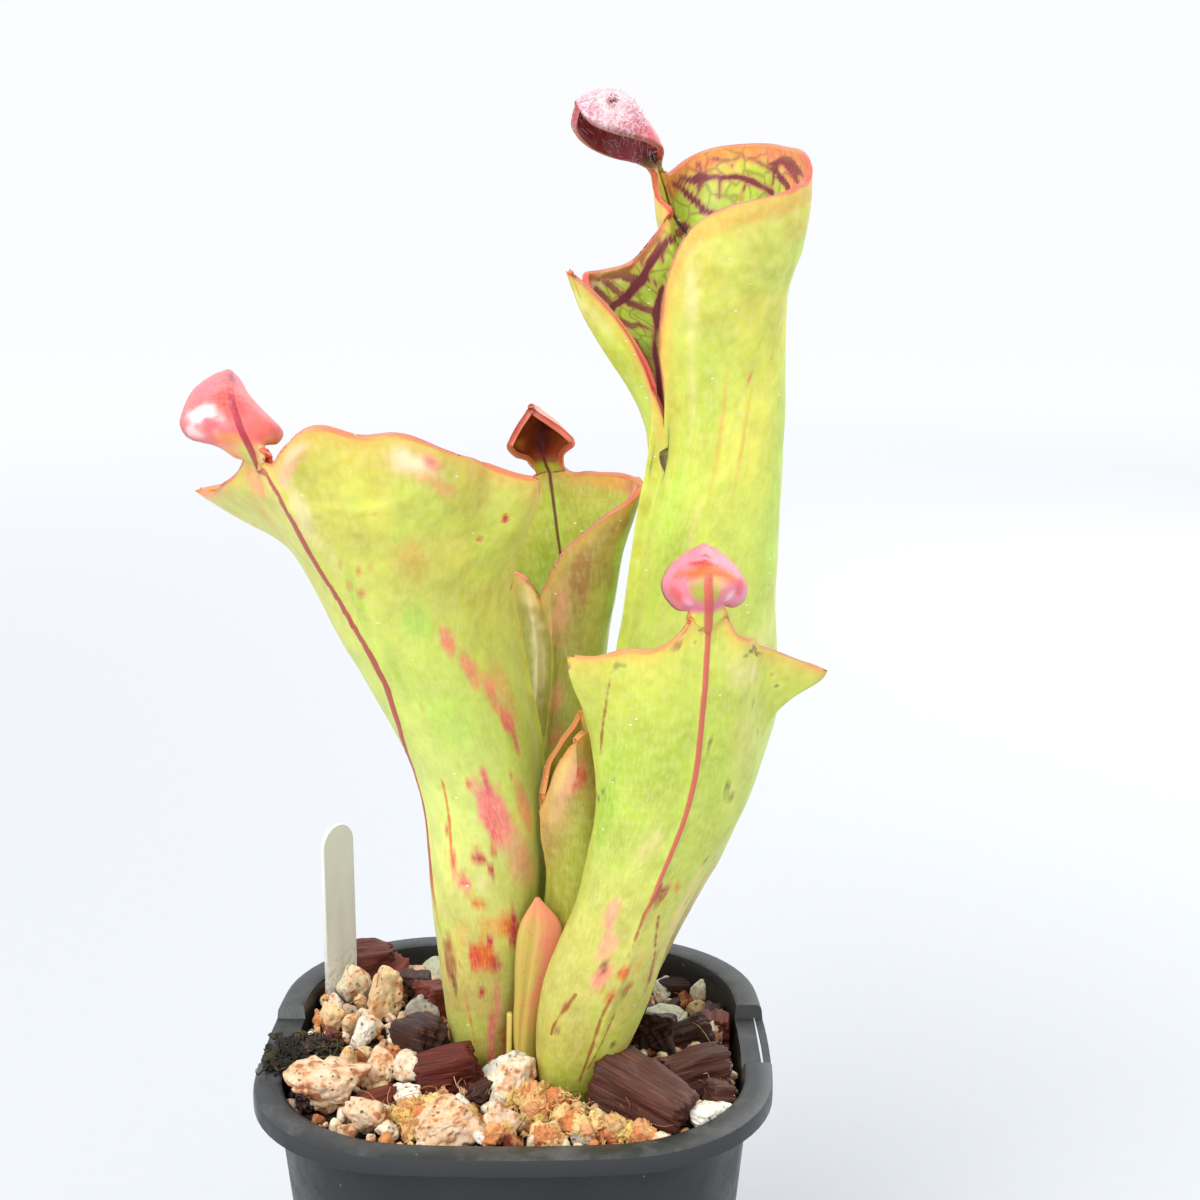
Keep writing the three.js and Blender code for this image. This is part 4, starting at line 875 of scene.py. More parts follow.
# Colours of each pitcher: outside and lining from base to rim, then dabs of paint on them.
# Wall dabs: degrees round from the slit, share of the height, reach in each, strength, softness, paint.
# Tab dabs: -1 to 1 across, 0 to 1 along, reach in each, strength, softness, paint.
# Veins and scars: half-width in mm and a line of places on the wall, degrees round and share of the height.
SKINS = {
    "pitcher_left": dict(
        outer=[(0, (122, 84, 36)), (0.05, (170, 132, 62)), (0.12, (196, 176, 90)), (0.25, (206, 204, 104)),
               (0.4, (210, 222, 116)), (0.62, (204, 220, 100)), (0.8, (214, 214, 92)), (0.95, (216, 208, 84)),
               (1, (220, 190, 84))],
        inner=[(0, (70, 30, 28)), (0.5, (120, 90, 50)), (0.8, (196, 190, 90)), (1, (216, 170, 96))],
        fresh=(196, 222, 88),
        outer_dabs=[
            (-106, 0.72, 13, 0.045, 0.8, 0.9, "green"), (-140, 0.74, 5, 0.07, 0.5, 0.9, "moss"),
            (-130, 0.64, 5, 0.05, 0.45, 0.9, "moss"), (-104, 0.56, 26, 0.06, 0.5, 1.0, "green"),
            (-106, 0.82, 12, 0.05, 0.5, 1.0, "amber"), (-84, 0.86, 16, 0.05, 0.6, 1.0, "yellow"),
            (-120, 0.90, 9, 0.04, 0.5, 1.0, "yellow"), (-60, 0.80, 10, 0.08, 0.4, 1.0, "yellow"),
            (-152, 0.91, 6, 0.08, 0.75, 0.8, "cream"), (-146, 0.83, 4, 0.05, 0.5, 0.9, "straw"),
            (-150, 0.975, 11, 0.022, 0.9, 0.7, "peach"), (-146, 0.985, 6, 0.012, 0.6, 0.6, "ivory"),
            (-104, 0.966, 15, 0.03, 0.8, 1.0, "peach"), (-107, 0.966, 9, 0.02, 0.6, 0.9, "ivory"),
            (-98, 0.975, 3, 0.014, 0.55, 0.6, "rose"), (-96, 0.945, 9, 0.02, 0.5, 0.9, "salmon"),
            (-130, 0.857, 1.4, 0.008, 0.9, 0.3, "red"),
            (165, 0.9, 14, 0.08, 0.35, 1.0, "amber"), (176, 0.97, 9, 0.03, 0.7, 0.8, "salmon"),
            (-88, 0.70, 6, 0.030, 0.95, 0.6, "salmon"), (-78, 0.665, 7, 0.035, 0.9, 0.6, "salmon"),
            (-66, 0.63, 7, 0.035, 0.9, 0.6, "salmon"), (-58, 0.59, 7, 0.035, 0.85, 0.6, "rose"),
            (-54, 0.64, 14, 0.09, 0.5, 1.0, "salmon"), (-56, 0.565, 3, 0.016, 0.8, 0.5, "rose"),
            (-92, 0.42, 17, 0.060, 0.95, 0.5, "pink"), (-90, 0.475, 4, 0.03, 0.9, 0.5, "rose"),
            (-94, 0.40, 8, 0.035, 0.85, 0.6, "rose"), (-60, 0.46, 9, 0.05, 0.75, 0.7, "salmon"),
            (-72, 0.36, 26, 0.06, 0.9, 0.9, "blush"), (-116, 0.345, 8, 0.012, 1.0, 0.4, "crimson"),
            (-106, 0.327, 4, 0.014, 1.0, 0.4, "crimson"), (-100, 0.36, 5, 0.012, 0.7, 0.5, "red"),
            (-136, 0.305, 8, 0.016, 0.9, 0.5, "rose"), (-146, 0.33, 4, 0.03, 0.8, 0.6, "salmon"),
            (-125, 0.283, 14, 0.008, 0.85, 0.4, "orange"), (-118, 0.31, 9, 0.016, 0.8, 0.9, "cream"),
            (-112, 0.247, 26, 0.016, 0.85, 0.6, "amber"), (-96, 0.25, 14, 0.022, 0.8, 0.7, "orange"),
            (-90, 0.262, 5, 0.022, 0.95, 0.5, "crimson"), (-94, 0.232, 5, 0.016, 0.9, 0.5, "crimson"),
            (-130, 0.20, 17, 0.026, 1.0, 0.35, "orange"), (-140, 0.20, 7, 0.022, 0.8, 0.5, "red"),
            (-120, 0.228, 5, 0.008, 1.0, 0.4, "crimson"), (-116, 0.190, 11, 0.012, 0.95, 0.4, "crimson"),
            (-176, 0.19, 12, 0.045, 0.9, 0.5, "brown"), (-172, 0.16, 5, 0.018, 0.8, 0.4, "dark"),
            (-150, 0.235, 14, 0.03, 0.5, 0.8, "amber"), (-136, 0.143, 6, 0.008, 0.95, 0.4, "crimson"),
            (-116, 0.13, 7, 0.06, 0.75, 0.9, "pink"), (-124, 0.08, 7, 0.05, 0.8, 0.7, "rose"),
            (-100, 0.07, 8, 0.05, 0.6, 0.7, "orange"), (-140, 0.03, 60, 0.02, 0.7, 0.8, "dark"),
            (170, 0.40, 12, 0.3, 0.35, 1.0, "straw")],
        scars=[(0.22, [(-134, 0.47), (-139, 0.41), (-146, 0.357), (-146, 0.33), (-138, 0.305), (-128, 0.286),
                       (-116, 0.279)]),
               (0.12, [(-150, 0.06), (-156, 0.12), (-160, 0.2)])],
        scar="orange", rim=(238, 108, 78), rib=(176, 48, 66), rib_from=0.22, rib_wide=0.62, rib_to=0.5,
        rib_line=[(180, 1), (-172, 0.989), (-162, 0.957), (-159, 0.925), (-159, 0.882), (-157, 0.804),
                  (-150, 0.721), (-144, 0.661), (-145, 0.614), (-153, 0.575), (-165, 0.54), (-180, 0.49),
                  (-187, 0.389), (-184, 0.318), (-184, 0.25)],
        hood_from=0.2, neck=(236, 190, 120), neck_in=(214, 110, 100),
        hood=(236, 116, 118), hood_in=(190, 60, 70),
        tab_dabs=[(-0.07, 0.43, 0.3, 0.09, 0.95, 0.7, "scarlet"),
                  (-0.47, 0.37, 0.3, 0.075, 0.95, 0.5, "frost"),
                  (-0.75, 0.31, 0.25, 0.05, 0.8, 0.6, "frost"), (-0.38, 0.33, 0.16, 0.035, 0.95, 0.5, "rose"),
                  (0.3, 0.3, 0.3, 0.08, 0.6, 0.8, "coral"), (0.62, 0.27, 0.25, 0.05, 0.7, 0.8, "peach"),
                  (0.05, 0.66, 0.22, 0.1, 0.6, 0.7, "plum"), (-0.55, 0.56, 0.35, 0.1, 0.5, 0.9, "orchid"),
                  (-0.3, 0.24, 0.4, 0.04, 0.7, 0.8, "amber"), (-0.2, 0.12, 0.3, 0.12, 0.8, 0.8, "lime"),
                  (0.4, 0.12, 0.3, 0.1, 0.6, 0.9, "ivory"), (-0.8, 0.12, 0.3, 0.1, 0.8, 0.8, "coral")],
        fuzz=0.12),
    "pitcher_tall": dict(
        outer=[(0, (120, 90, 40)), (0.12, (176, 140, 70)), (0.25, (206, 196, 104)), (0.4, (200, 212, 112)),
               (0.6, (204, 218, 88)), (0.78, (212, 218, 80)), (0.92, (216, 214, 84)), (1, (220, 200, 92))],
        inner=[(0, (50, 14, 26)), (0.8, (60, 20, 34)), (0.86, (120, 130, 40)), (0.9, (176, 208, 70)),
               (0.96, (198, 216, 70)), (0.985, (226, 206, 90)), (1, (240, 150, 90))],
        fresh=(192, 216, 96),
        outer_dabs=[
            (70, 0.70, 26, 0.10, 0.55, 1.0, "yellow"), (58, 0.86, 20, 0.05, 0.5, 1.0, "yellow"),
            (80, 0.93, 14, 0.03, 0.5, 1.0, "green"), (110, 0.62, 16, 0.2, 0.5, 1.0, "green"),
            (24, 0.66, 10, 0.16, 0.5, 1.0, "green"), (34, 0.60, 16, 0.05, 0.55, 0.9, "moss"),
            (32, 0.93, 5, 0.06, 0.6, 0.9, "cream"), (28, 0.80, 4, 0.12, 0.4, 1.0, "cream"),
            (64, 0.761, 2.0, 0.006, 1.0, 0.5, "orange"), (63, 0.757, 0.9, 0.003, 0.6, 0.5, "brown"),
            (50, 0.72, 2.5, 0.10, 0.5, 1.0, "amber"), (66, 0.68, 2, 0.08, 0.45, 1.0, "amber"),
            (78, 0.80, 2, 0.07, 0.35, 1.0, "amber"), (44, 0.60, 3, 0.05, 0.4, 1.0, "peach"),
            (-30, 0.9, 20, 0.12, 0.75, 1.0, "lime"), (-40, 0.96, 10, 0.03, 0.5, 1.0, "cream"),
            (118, 0.45, 22, 0.08, 0.5, 1.0, "cream"), (96, 0.33, 18, 0.05, 0.5, 0.9, "peach"),
            (60, 0.985, 60, 0.012, 0.5, 1.0, "amber")],
        inner_dabs=[(-120, 0.99, 30, 0.022, 0.8, 0.9, "ivory"), (-104, 1.0, 16, 0.03, 0.8, 0.9, "mauve"),
                    (112, 1.0, 30, 0.02, 0.95, 0.7, "coral"), (96, 0.985, 24, 0.03, 0.7, 0.9, "salmon"),
                    (140, 0.995, 16, 0.012, 0.8, 0.9, "amber"), (170, 0.985, 12, 0.02, 0.9, 0.8, "orange"),
                    (166, 0.95, 14, 0.05, 0.5, 0.9, "moss"), (150, 0.94, 12, 0.04, 0.4, 0.9, "lime")],
        veins=[
            (0.51, [(-85, 0.832), (-94, 0.85), (-105, 0.864), (-119, 0.886), (-133, 0.911), (-146, 0.936),
                    (-155, 0.943), (-157, 0.946)]),
            (0.44, [(-115, 0.95), (-124, 0.954), (-135, 0.964), (-141, 0.971), (-147, 0.975), (-153, 0.975),
                    (-156, 0.979), (-157, 0.979), (-159, 0.982), (-160, 0.982), (-162, 0.975)]),
            (0.23, [(-159, 0.979), (-159, 0.968), (-160, 0.961)]),
            (0.23, [(-178, 0.921), (-179, 0.932), (-183, 0.954), (-183, 0.961)]),
            (0.30, [(-102, 1), (-121, 0.989), (-131, 0.993), (-139, 0.993), (-143, 0.996), (-149, 1),
                    (-154, 1), (-155, 0.996), (-157, 0.996), (-158, 0.996), (-159, 0.993), (-160, 0.996)]),
            (0.21, [(-140, 0.993), (-142, 0.986), (-147, 0.979)]), (0.21, [(-159, 0.993), (-159, 0.982)]),
            (0.16, [(-155, 0.996), (-154, 0.989), (-156, 0.979)]),
            (0.18, [(-118, 0.957), (-115, 0.968), (-111, 0.979)]),
            (0.16, [(-125, 0.986), (-128, 0.979), (-130, 0.968), (-134, 0.964)]),
            (0.20, [(-132, 0.954), (-137, 0.946), (-139, 0.943), (-145, 0.936)]),
            (0.16, [(-110, 0.936), (-113, 0.929), (-117, 0.921), (-125, 0.921), (-129, 0.914),
                    (-132, 0.911)]),
            (0.25, [(-153, 0.975), (-155, 0.961), (-156, 0.954), (-157, 0.946)]),
            (0.16, [(-107, 0.907), (-104, 0.896), (-102, 0.882), (-98, 0.871)]),
            (0.33, [(163, 0.936), (166, 0.936), (173, 0.929)]),
            (0.12, [(172, 0.964), (169, 0.957), (167, 0.943)]),
            (0.58, [(118, 0.95), (123, 0.954), (129, 0.957), (134, 0.961), (139, 0.964)]),
            (0.34, [(139, 0.964), (143, 0.964), (147, 0.968), (151, 0.971)]),
            (0.30, [(151, 0.971), (153, 0.975), (156, 0.975), (159, 0.982), (162, 0.989)]),
            (0.33, [(138, 0.986), (134, 0.986), (129, 0.982), (125, 0.979), (120, 0.975), (115, 0.979)]),
            (0.25, [(122, 0.979), (117, 0.982), (110, 0.986), (105, 0.979), (101, 0.975), (96, 0.968)]),
            (0.20, [(110, 0.986), (103, 0.986), (97, 0.982), (91, 0.982), (87, 0.982)]),
            (0.21, [(119, 0.975), (117, 0.968), (119, 0.957)]),
            (0.30, [(116, 0.975), (113, 0.968), (109, 0.964), (105, 0.957)]),
            (0.21, [(151, 0.971), (153, 0.971), (154, 0.964)]),
            (0.23, [(168, 0.989), (163, 0.979), (160, 0.968)]),
            (0.37, [(160, 0.968), (157, 0.957), (155, 0.95)]),
            (0.23, [(155, 0.95), (153, 0.939), (150, 0.932), (148, 0.929)]),
            (0.18, [(145, 0.964), (145, 0.954), (146, 0.946)]),
            (0.18, [(134, 0.957), (136, 0.946), (136, 0.939)]),
            (0.12, [(153, 0.989), (152, 0.979), (150, 0.971)]),
            (0.18, [(148, 0.989), (145, 0.986), (142, 0.982), (140, 0.975)]),
            (0.16, [(140, 0.975), (139, 0.982), (138, 0.986)])],
        scars=[(0.06, [(60, 0.79), (60, 0.75), (58, 0.71), (57, 0.67)])],
        scar="straw", vein=(116, 30, 66), rim=(238, 92, 88), rib=(70, 30, 44), rib_from=0.8, rib_wide=0.5,
        rib_to=0.1, rib_line=[(180, 1), (174, 0.975), (168, 0.95), (164, 0.93)],
        hood_from=0.12, neck=(98, 70, 66), neck_in=(74, 44, 48), hood=(222, 140, 164), hood_in=(138, 26, 50),
        tab_dabs=[(-0.5, 0.72, 0.7, 0.22, 0.8, 0.8, "frost"), (-0.5, 0.68, 0.2, 0.05, 0.95, 0.5, "wine"),
                  (-0.85, 0.4, 0.3, 0.14, 0.7, 0.9, "rose"), (-0.9, 0.2, 0.3, 0.12, 0.6, 0.9, "coral")],
        fuzz=0.9),
    "pitcher_rear": dict(
        outer=[(0, (130, 110, 50)), (0.3, (196, 200, 104)), (0.6, (190, 192, 96)), (0.85, (178, 168, 84)),
               (1, (190, 150, 84))],
        inner=[(0, (60, 24, 26)), (0.6, (130, 140, 50)), (0.85, (166, 186, 56)), (0.95, (188, 188, 76)),
               (1, (200, 168, 84))],
        fresh=(196, 206, 110),
        outer_dabs=[
            (-8, 0.8, 10, 0.3, 1.0, 0.8, "cream"), (18, 0.9, 16, 0.08, 0.75, 0.9, "blush"),
            (14, 0.74, 9, 0.06, 0.85, 0.8, "blush"), (20, 0.66, 9, 0.04, 0.6, 0.8, "pink"),
            (40, 0.92, 14, 0.08, 0.6, 1.0, "brown"), (80, 0.88, 16, 0.25, 0.8, 1.0, "green"),
            (52, 0.80, 8, 0.2, 0.5, 1.0, "olive"), (22, 0.80, 8, 0.05, 0.6, 0.9, "olive")],
        inner_dabs=[(96, 0.985, 26, 0.035, 0.95, 0.7, "rose"), (92, 0.97, 20, 0.03, 0.6, 0.8, "mauve"),
                    (130, 0.985, 22, 0.02, 0.7, 0.9, "amber"), (180, 0.93, 8, 0.1, 0.6, 1.0, "green")],
        rim=(222, 96, 82), rib=(112, 30, 44), rib_from=0.3, rib_wide=0.62, rib_to=0.8,
        hood_from=0.14, neck=(206, 176, 90), neck_in=(176, 192, 52),
        hood=(230, 150, 140), hood_in=(150, 62, 26),
        tab_dabs_in=[(0, 0.5, 0.3, 0.4, 0.9, 0.8, "maroon"), (0.6, 0.3, 0.22, 0.1, 0.8, 0.7, "amber"),
                     (-0.6, 0.3, 0.22, 0.1, 0.7, 0.7, "brown"), (-0.8, 0.38, 0.2, 0.08, 0.7, 0.7, "orange"),
                     (0.5, 0.5, 0.2, 0.1, 0.6, 0.8, "brown"), (0.9, 0.08, 0.3, 0.08, 0.8, 0.8, "amber"),
                     (-0.9, 0.08, 0.3, 0.08, 0.8, 0.8, "amber")],
        fuzz=0.1),
    "pitcher_front": dict(
        outer=[(0, (150, 128, 44)), (0.06, (176, 170, 60)), (0.2, (196, 186, 84)), (0.4, (200, 196, 92)),
               (0.55, (190, 202, 84)), (0.75, (186, 206, 72)), (0.93, (208, 216, 84)), (1, (220, 208, 88))],
        inner=[(0, (60, 24, 26)), (0.7, (140, 150, 50)), (1, (210, 180, 90))],
        fresh=(170, 204, 62),
        outer_dabs=[
            (108, 0.66, 18, 0.12, 0.85, 0.9, "moss"), (120, 0.80, 16, 0.08, 0.5, 1.0, "moss"),
            (-150, 0.93, 22, 0.04, 0.5, 1.0, "cream"), (-128, 0.94, 12, 0.04, 0.75, 1.0, "cream"),
            (-140, 0.78, 20, 0.12, 0.5, 1.0, "straw"), (160, 0.585, 14, 0.045, 0.75, 0.9, "straw"),
            (144, 0.46, 10, 0.035, 0.85, 0.7, "blush"), (152, 0.40, 12, 0.035, 0.8, 0.6, "blush"),
            (158, 0.33, 10, 0.03, 0.7, 0.7, "pink"), (146, 0.43, 4, 0.02, 0.6, 0.6, "pink"),
            (-172, 0.50, 7, 0.025, 0.95, 0.5, "brown"), (-158, 0.525, 4, 0.012, 0.7, 0.6, "orange"),
            (180, 0.352, 6, 0.014, 0.9, 0.4, "orange"), (-170, 0.31, 6, 0.018, 0.8, 0.5, "brown"),
            (176, 0.30, 5, 0.022, 0.7, 0.5, "orange"), (-168, 0.36, 7, 0.03, 0.5, 0.9, "amber"),
            (-136, 0.5, 8, 0.10, 0.6, 0.9, "peach"), (-142, 0.36, 5, 0.06, 0.6, 0.8, "brown"),
            (134, 0.262, 5, 0.008, 0.9, 0.4, "brown"), (130, 0.21, 5, 0.01, 0.6, 0.5, "dark"),
            (-133, 0.984, 6, 0.006, 1.0, 0.25, "soot"), (-139, 0.975, 5, 0.004, 0.95, 0.3, "soot"),
            (-126, 0.978, 5, 0.003, 0.9, 0.3, "soot"), (-121, 0.983, 5, 0.002, 0.9, 0.3, "soot"),
            (-146, 0.968, 3, 0.003, 0.7, 0.3, "dark"), (98, 0.985, 3, 0.006, 0.8, 0.3, "dark"),
            (150, 0.03, 60, 0.02, 0.6, 0.9, "brown"), (120, 0.12, 14, 0.06, 0.5, 0.9, "lime")],
        scars=[(0.32, [(-176, 0.53), (178, 0.47), (178, 0.42), (-178, 0.37)]),
               (0.30, [(-166, 0.46), (-156, 0.42), (-148, 0.40), (-138, 0.336)]),
               (0.22, [(178, 0.31), (174, 0.25), (174, 0.19), (172, 0.14), (170, 0.10)]),
               (0.26, [(140, 0.29), (136, 0.268), (130, 0.243), (124, 0.215), (122, 0.195)]),
               (0.18, [(116, 0.96), (112, 0.92), (106, 0.87), (101, 0.82)]),
               (0.14, [(-172, 0.26), (-176, 0.2), (176, 0.13)])],
        scar="brown", rim=(240, 132, 84), rib=(210, 88, 84), rib_from=0.42, rib_wide=0.72, rib_to=0.46,
        hood_from=0.17, neck=(222, 222, 96), neck_in=(210, 150, 90),
        hood=(232, 132, 156), hood_in=(190, 60, 84),
        tab_dabs=[(0.0, 0.47, 0.5, 0.1, 0.95, 0.5, "orange"), (-0.05, 0.34, 0.4, 0.12, 1.0, 0.4, "olive"),
                  (0.2, 0.4, 0.2, 0.08, 0.7, 0.8, "peach"), (-0.62, 0.35, 0.17, 0.07, 0.95, 0.5, "rose"),
                  (0.6, 0.4, 0.17, 0.07, 0.95, 0.5, "rose"), (-0.5, 0.28, 0.1, 0.06, 0.7, 0.7, "frost"),
                  (0.45, 0.33, 0.12, 0.07, 0.7, 0.7, "frost"), (-0.1, 0.555, 0.25, 0.03, 0.95, 0.4, "red"),
                  (-0.45, 0.46, 0.2, 0.04, 0.6, 0.8, "rose"), (0.1, 0.74, 0.35, 0.1, 0.7, 0.8, "mauve"),
                  (0.05, 0.64, 0.1, 0.03, 0.6, 0.6, "plum"), (0.0, 0.14, 0.7, 0.08, 0.8, 0.9, "lime"),
                  (0.85, 0.12, 0.3, 0.1, 0.8, 0.9, "amber"), (-0.85, 0.12, 0.3, 0.1, 0.8, 0.9, "amber")],
        fuzz=0.08),
    "pitcher_small": dict(
        outer=[(0, (120, 100, 40)), (0.4, (166, 166, 50)), (0.7, (172, 170, 60)), (0.85, (190, 156, 84)),
               (1, (206, 160, 104))],
        inner=[(0, (60, 30, 20)), (0.6, (110, 120, 26)), (1, (150, 160, 40))],
        fresh=(178, 190, 60),
        outer_dabs=[(80, 0.90, 40, 0.07, 0.7, 0.9, "blush"), (96, 0.86, 16, 0.04, 0.8, 0.7, "red"),
                    (60, 0.95, 30, 0.04, 0.6, 0.9, "straw"), (84, 0.70, 30, 0.06, 0.4, 0.9, "olive")],
        rim=(236, 150, 84), rib=(150, 60, 50), rib_from=0.4, rib_wide=0.4, rib_to=0.4,
        hood_from=0.4, neck=(200, 170, 80), neck_in=(150, 120, 50),
        hood=(206, 120, 96), hood_in=(120, 40, 40),
        fuzz=0.05),
}


class LeafLook(Look):
    """Skin of a pitcher: painted colours under veins, scars, midrib, down, rim and flecks."""

    def __init__(self, name, skin):
        super().__init__(name + "_skin", Roughness=0.4, IOR=1.45, Subsurface_Weight=0.25,
                         Subsurface_Scale=0.0009, Subsurface_Radius=(1.0, 0.8, 0.3), Specular_IOR_Level=0.45)
        self.skin = skin
        self.up, self.run, self.around = self.value("up"), self.value("run"), self.value("around")
        self.inside, self.hooded = self.value("inside"), self.value("hooded")
        self.mottle, self.soft = self.noise(650, 2, 0.6), self.noise(150, 2)
        self.blur = self.swing(self.noise(480, 2), 0.55)
        along = self.vector(self.times(self.around, 130.0), self.times(self.run, 0.07))
        self.lines = self.noise(1.0, 3, 0.6, along)
        self.shade = self.colour("tint")
        self.grain()
        if skin.get("veins"):
            self.veins()
        if skin.get("scars"):
            scar = self.span(self.plus(self.value("scar"), self.blur), -0.1, 0.22, 0.85, 0)
            self.cover(scar, PAINTS[skin["scar"]])
        self.rib()
        self.down()
        self.rim()
        self.flecks()

    def grain(self):
        """Cells between the fine veins, lines along the leaf and mottling."""
        plain = self.maths("MULTIPLY_ADD", self.hooded, -0.85, 1.0)
        x, y, z = self.times(self.around, 46.0), self.times(self.run, 0.3), self.times(self.soft, 1.3)
        windows = self.span(self.cells(1.0, self.vector(x, y, z)), 0.02, 0.32, 0, 0.13)
        self.cover(self.times(windows, plain), (240, 240, 160))
        self.cover(self.times(self.span(self.lines, 0.55, 0.8, 0, 0.12), plain), (212, 178, 92))
        self.cover(self.times(self.span(self.mottle, 0.38, 0.72, 0, 0.16), plain), (246, 240, 176))
        self.cover(self.span(self.mottle, 0.24, 0.42, 0.09, 0), (150, 96, 60))

    def veins(self):
        """Trunk veins and the net between them, in the lining below the hood."""
        warp = self.swing(self.soft, 1.5)
        x, y = self.plus(self.times(self.around, 19.0), warp), self.plus(self.times(self.run, 0.22), warp)
        net = self.cells(1.0, self.vector(x, y), randomness=0.9, flat=True)
        from_vein = self.plus(self.value("vein"), self.times(self.blur, 0.7))
        lining = self.times(self.inside, self.rest(self.hooded))
        self.cover(self.times(self.span(from_vein, -0.1, 0.7, 0.6, 0), lining), (206, 110, 110))
        trunk, thin = self.span(from_vein, -0.35, 0.22, 1, 0), self.span(net, 0.01, 0.12, 0.42, 0)
        vein = self.times(self.maths("MAXIMUM", trunk, thin), lining)
        self.cover(self.times(vein, 0.92), self.skin["vein"])

    def rib(self):
        """The midrib, from its start on the wall to its end on the hood."""
        start, end, width = self.skin["rib_from"], 1 + self.skin["rib_to"], self.skin["rib_wide"]
        off_rib = self.plus(self.value("rib"), self.times(self.blur, 0.35))
        wide = self.span(self.up, start, 1.0, 0.55 * width, width, soft=False)
        rib = self.span(self.maths("DIVIDE", off_rib, wide), 0.72, 1.2, 1, 0)
        rib = self.times(rib, self.span(self.up, start, start + 0.12))
        rib = self.times(rib, self.span(self.up, end - 0.06, end + 0.06, 1, 0))
        self.cover(self.times(rib, 0.9), self.skin["rib"])

    def down(self):
        """White down on the upper hood, with dark specks between."""
        fuzz, amount = self.noise(1700, 2, 0.7), self.skin["fuzz"]
        woolly = self.times(self.hooded, self.span(self.up, 1.30, 1.52, 0.12, 1))
        white = self.times(self.span(fuzz, 0.48, 0.60), self.times(woolly, self.rest(self.inside)))
        self.cover(self.times(white, 0.7 * amount), (252, 238, 240))
        specks = self.times(self.span(fuzz, 0.34, 0.42, 1, 0), woolly)
        self.cover(self.times(specks, 0.6 * amount), (130, 40, 64))

    def rim(self):
        """The red rim, thinner on the hood, and a yellow haze beside it."""
        patchy = self.noise(95, 2)
        edge = self.plus(self.value("edge"), self.times(self.blur, 0.2))
        narrow = self.plus(self.times(self.hooded, 0.35), edge)
        narrow = self.plus(narrow, self.span(patchy, 0.35, 0.65, -0.12, 0.12))
        haze = self.times(self.span(narrow, 0.3, 2.8, 0.45, 0), self.rest(self.hooded))
        self.cover(haze, (240, 186, 96))
        band = self.times(self.span(narrow, 0.12, 0.7, 1, 0), self.span(patchy, 0.35, 0.7, 0.92, 0.6))
        self.cover(band, self.skin["rim"])

    def flecks(self):
        """Pale flecks, in patches."""
        near = self.cells(360, self.stretched(1, 1, 1.8), feature="F1")
        fleck = self.times(self.span(near, 0.07, 0.12, 1, 0), self.span(self.soft, 0.56, 0.62))
        self.cover(self.times(fleck, 0.75), (252, 250, 236))


def leaf_look(name, skin):
    look = LeafLook(name, skin)
    normal = look.bump(look.mottle, 0.00008, 0.5, look.bump(look.lines, 0.00010, 0.5))
    return look.finish(Normal=normal, Roughness=look.span(look.mottle, 0.3, 0.7, 0.32, 0.5))


def tinted_look(name, *, roughness, grain, grain_depth, pits=0.0, stain=0.0, **settings):
    """Skin for small loose pieces, each with its own colour in the tint attribute."""
    look = Look(name, Roughness=roughness, **settings)
    look.shade = look.colour("tint")
    small, large = look.noise(grain, 5, 0.65), look.noise(grain * 0.22, 3, 0.6)
    look.cover(look.span(large, 0.38, 0.7, 0, 0.4), (250, 244, 226), "MULTIPLY")
    look.cover(look.span(small, 0.25, 0.55, 0.4, 0), (150, 120, 92), "MULTIPLY")
    if stain:
        rusty = look.plus(look.noise(grain * 0.3, 3, 0.55), look.times(look.value("rusty"), 0.12))
        look.cover(look.span(rusty, 0.50, 0.64, 0, stain * 0.8), (232, 166, 104))
        look.cover(look.span(rusty, 0.60, 0.70, 0, stain), (160, 78, 38))
    normal = look.bump(small, grain_depth, 0.9)
    # Pits: dented by bump and darkened as painted shade in the hollows.
    if pits:
        holes = look.cells(grain * 0.6, feature="F1")
        pit = look.times(look.span(holes, 0.08, 0.3, 1, 0), look.span(large, 0.42, 0.6))
        look.cover(look.times(pit, 0.8), (120, 90, 66), "MULTIPLY")
        normal = look.bump(look.rest(pit), pits, 1.0, normal)
    return look.finish(Normal=normal)


def fibre_look(name, *, roughness):
    """Skin for husk and threads: tint, broken into fine lines along the piece."""
    look = Look(name, Roughness=roughness)
    along, over = look.value("along"), look.value("over")
    lines = look.noise(1.0, 4, 0.6, look.vector(look.times(along, 0.1), look.times(over, 1.9), 0.0))
    look.shade = look.colour("tint")
    # Copper lines on the raised fibres: the fibres' own colour, with a painted highlight along them.
    look.cover(look.span(lines, 0.56, 0.72, 0, 0.6), (180, 96, 54))
    look.cover(look.span(lines, 0.28, 0.48, 0.9, 0), (34, 14, 10))
    dust = look.noise(900, 3, 0.6)
    look.cover(look.span(dust, 0.66, 0.8, 0, 0.25), (190, 150, 116))
    normal = look.bump(lines, 0.0004, 0.9)
    return look.finish(Normal=normal)


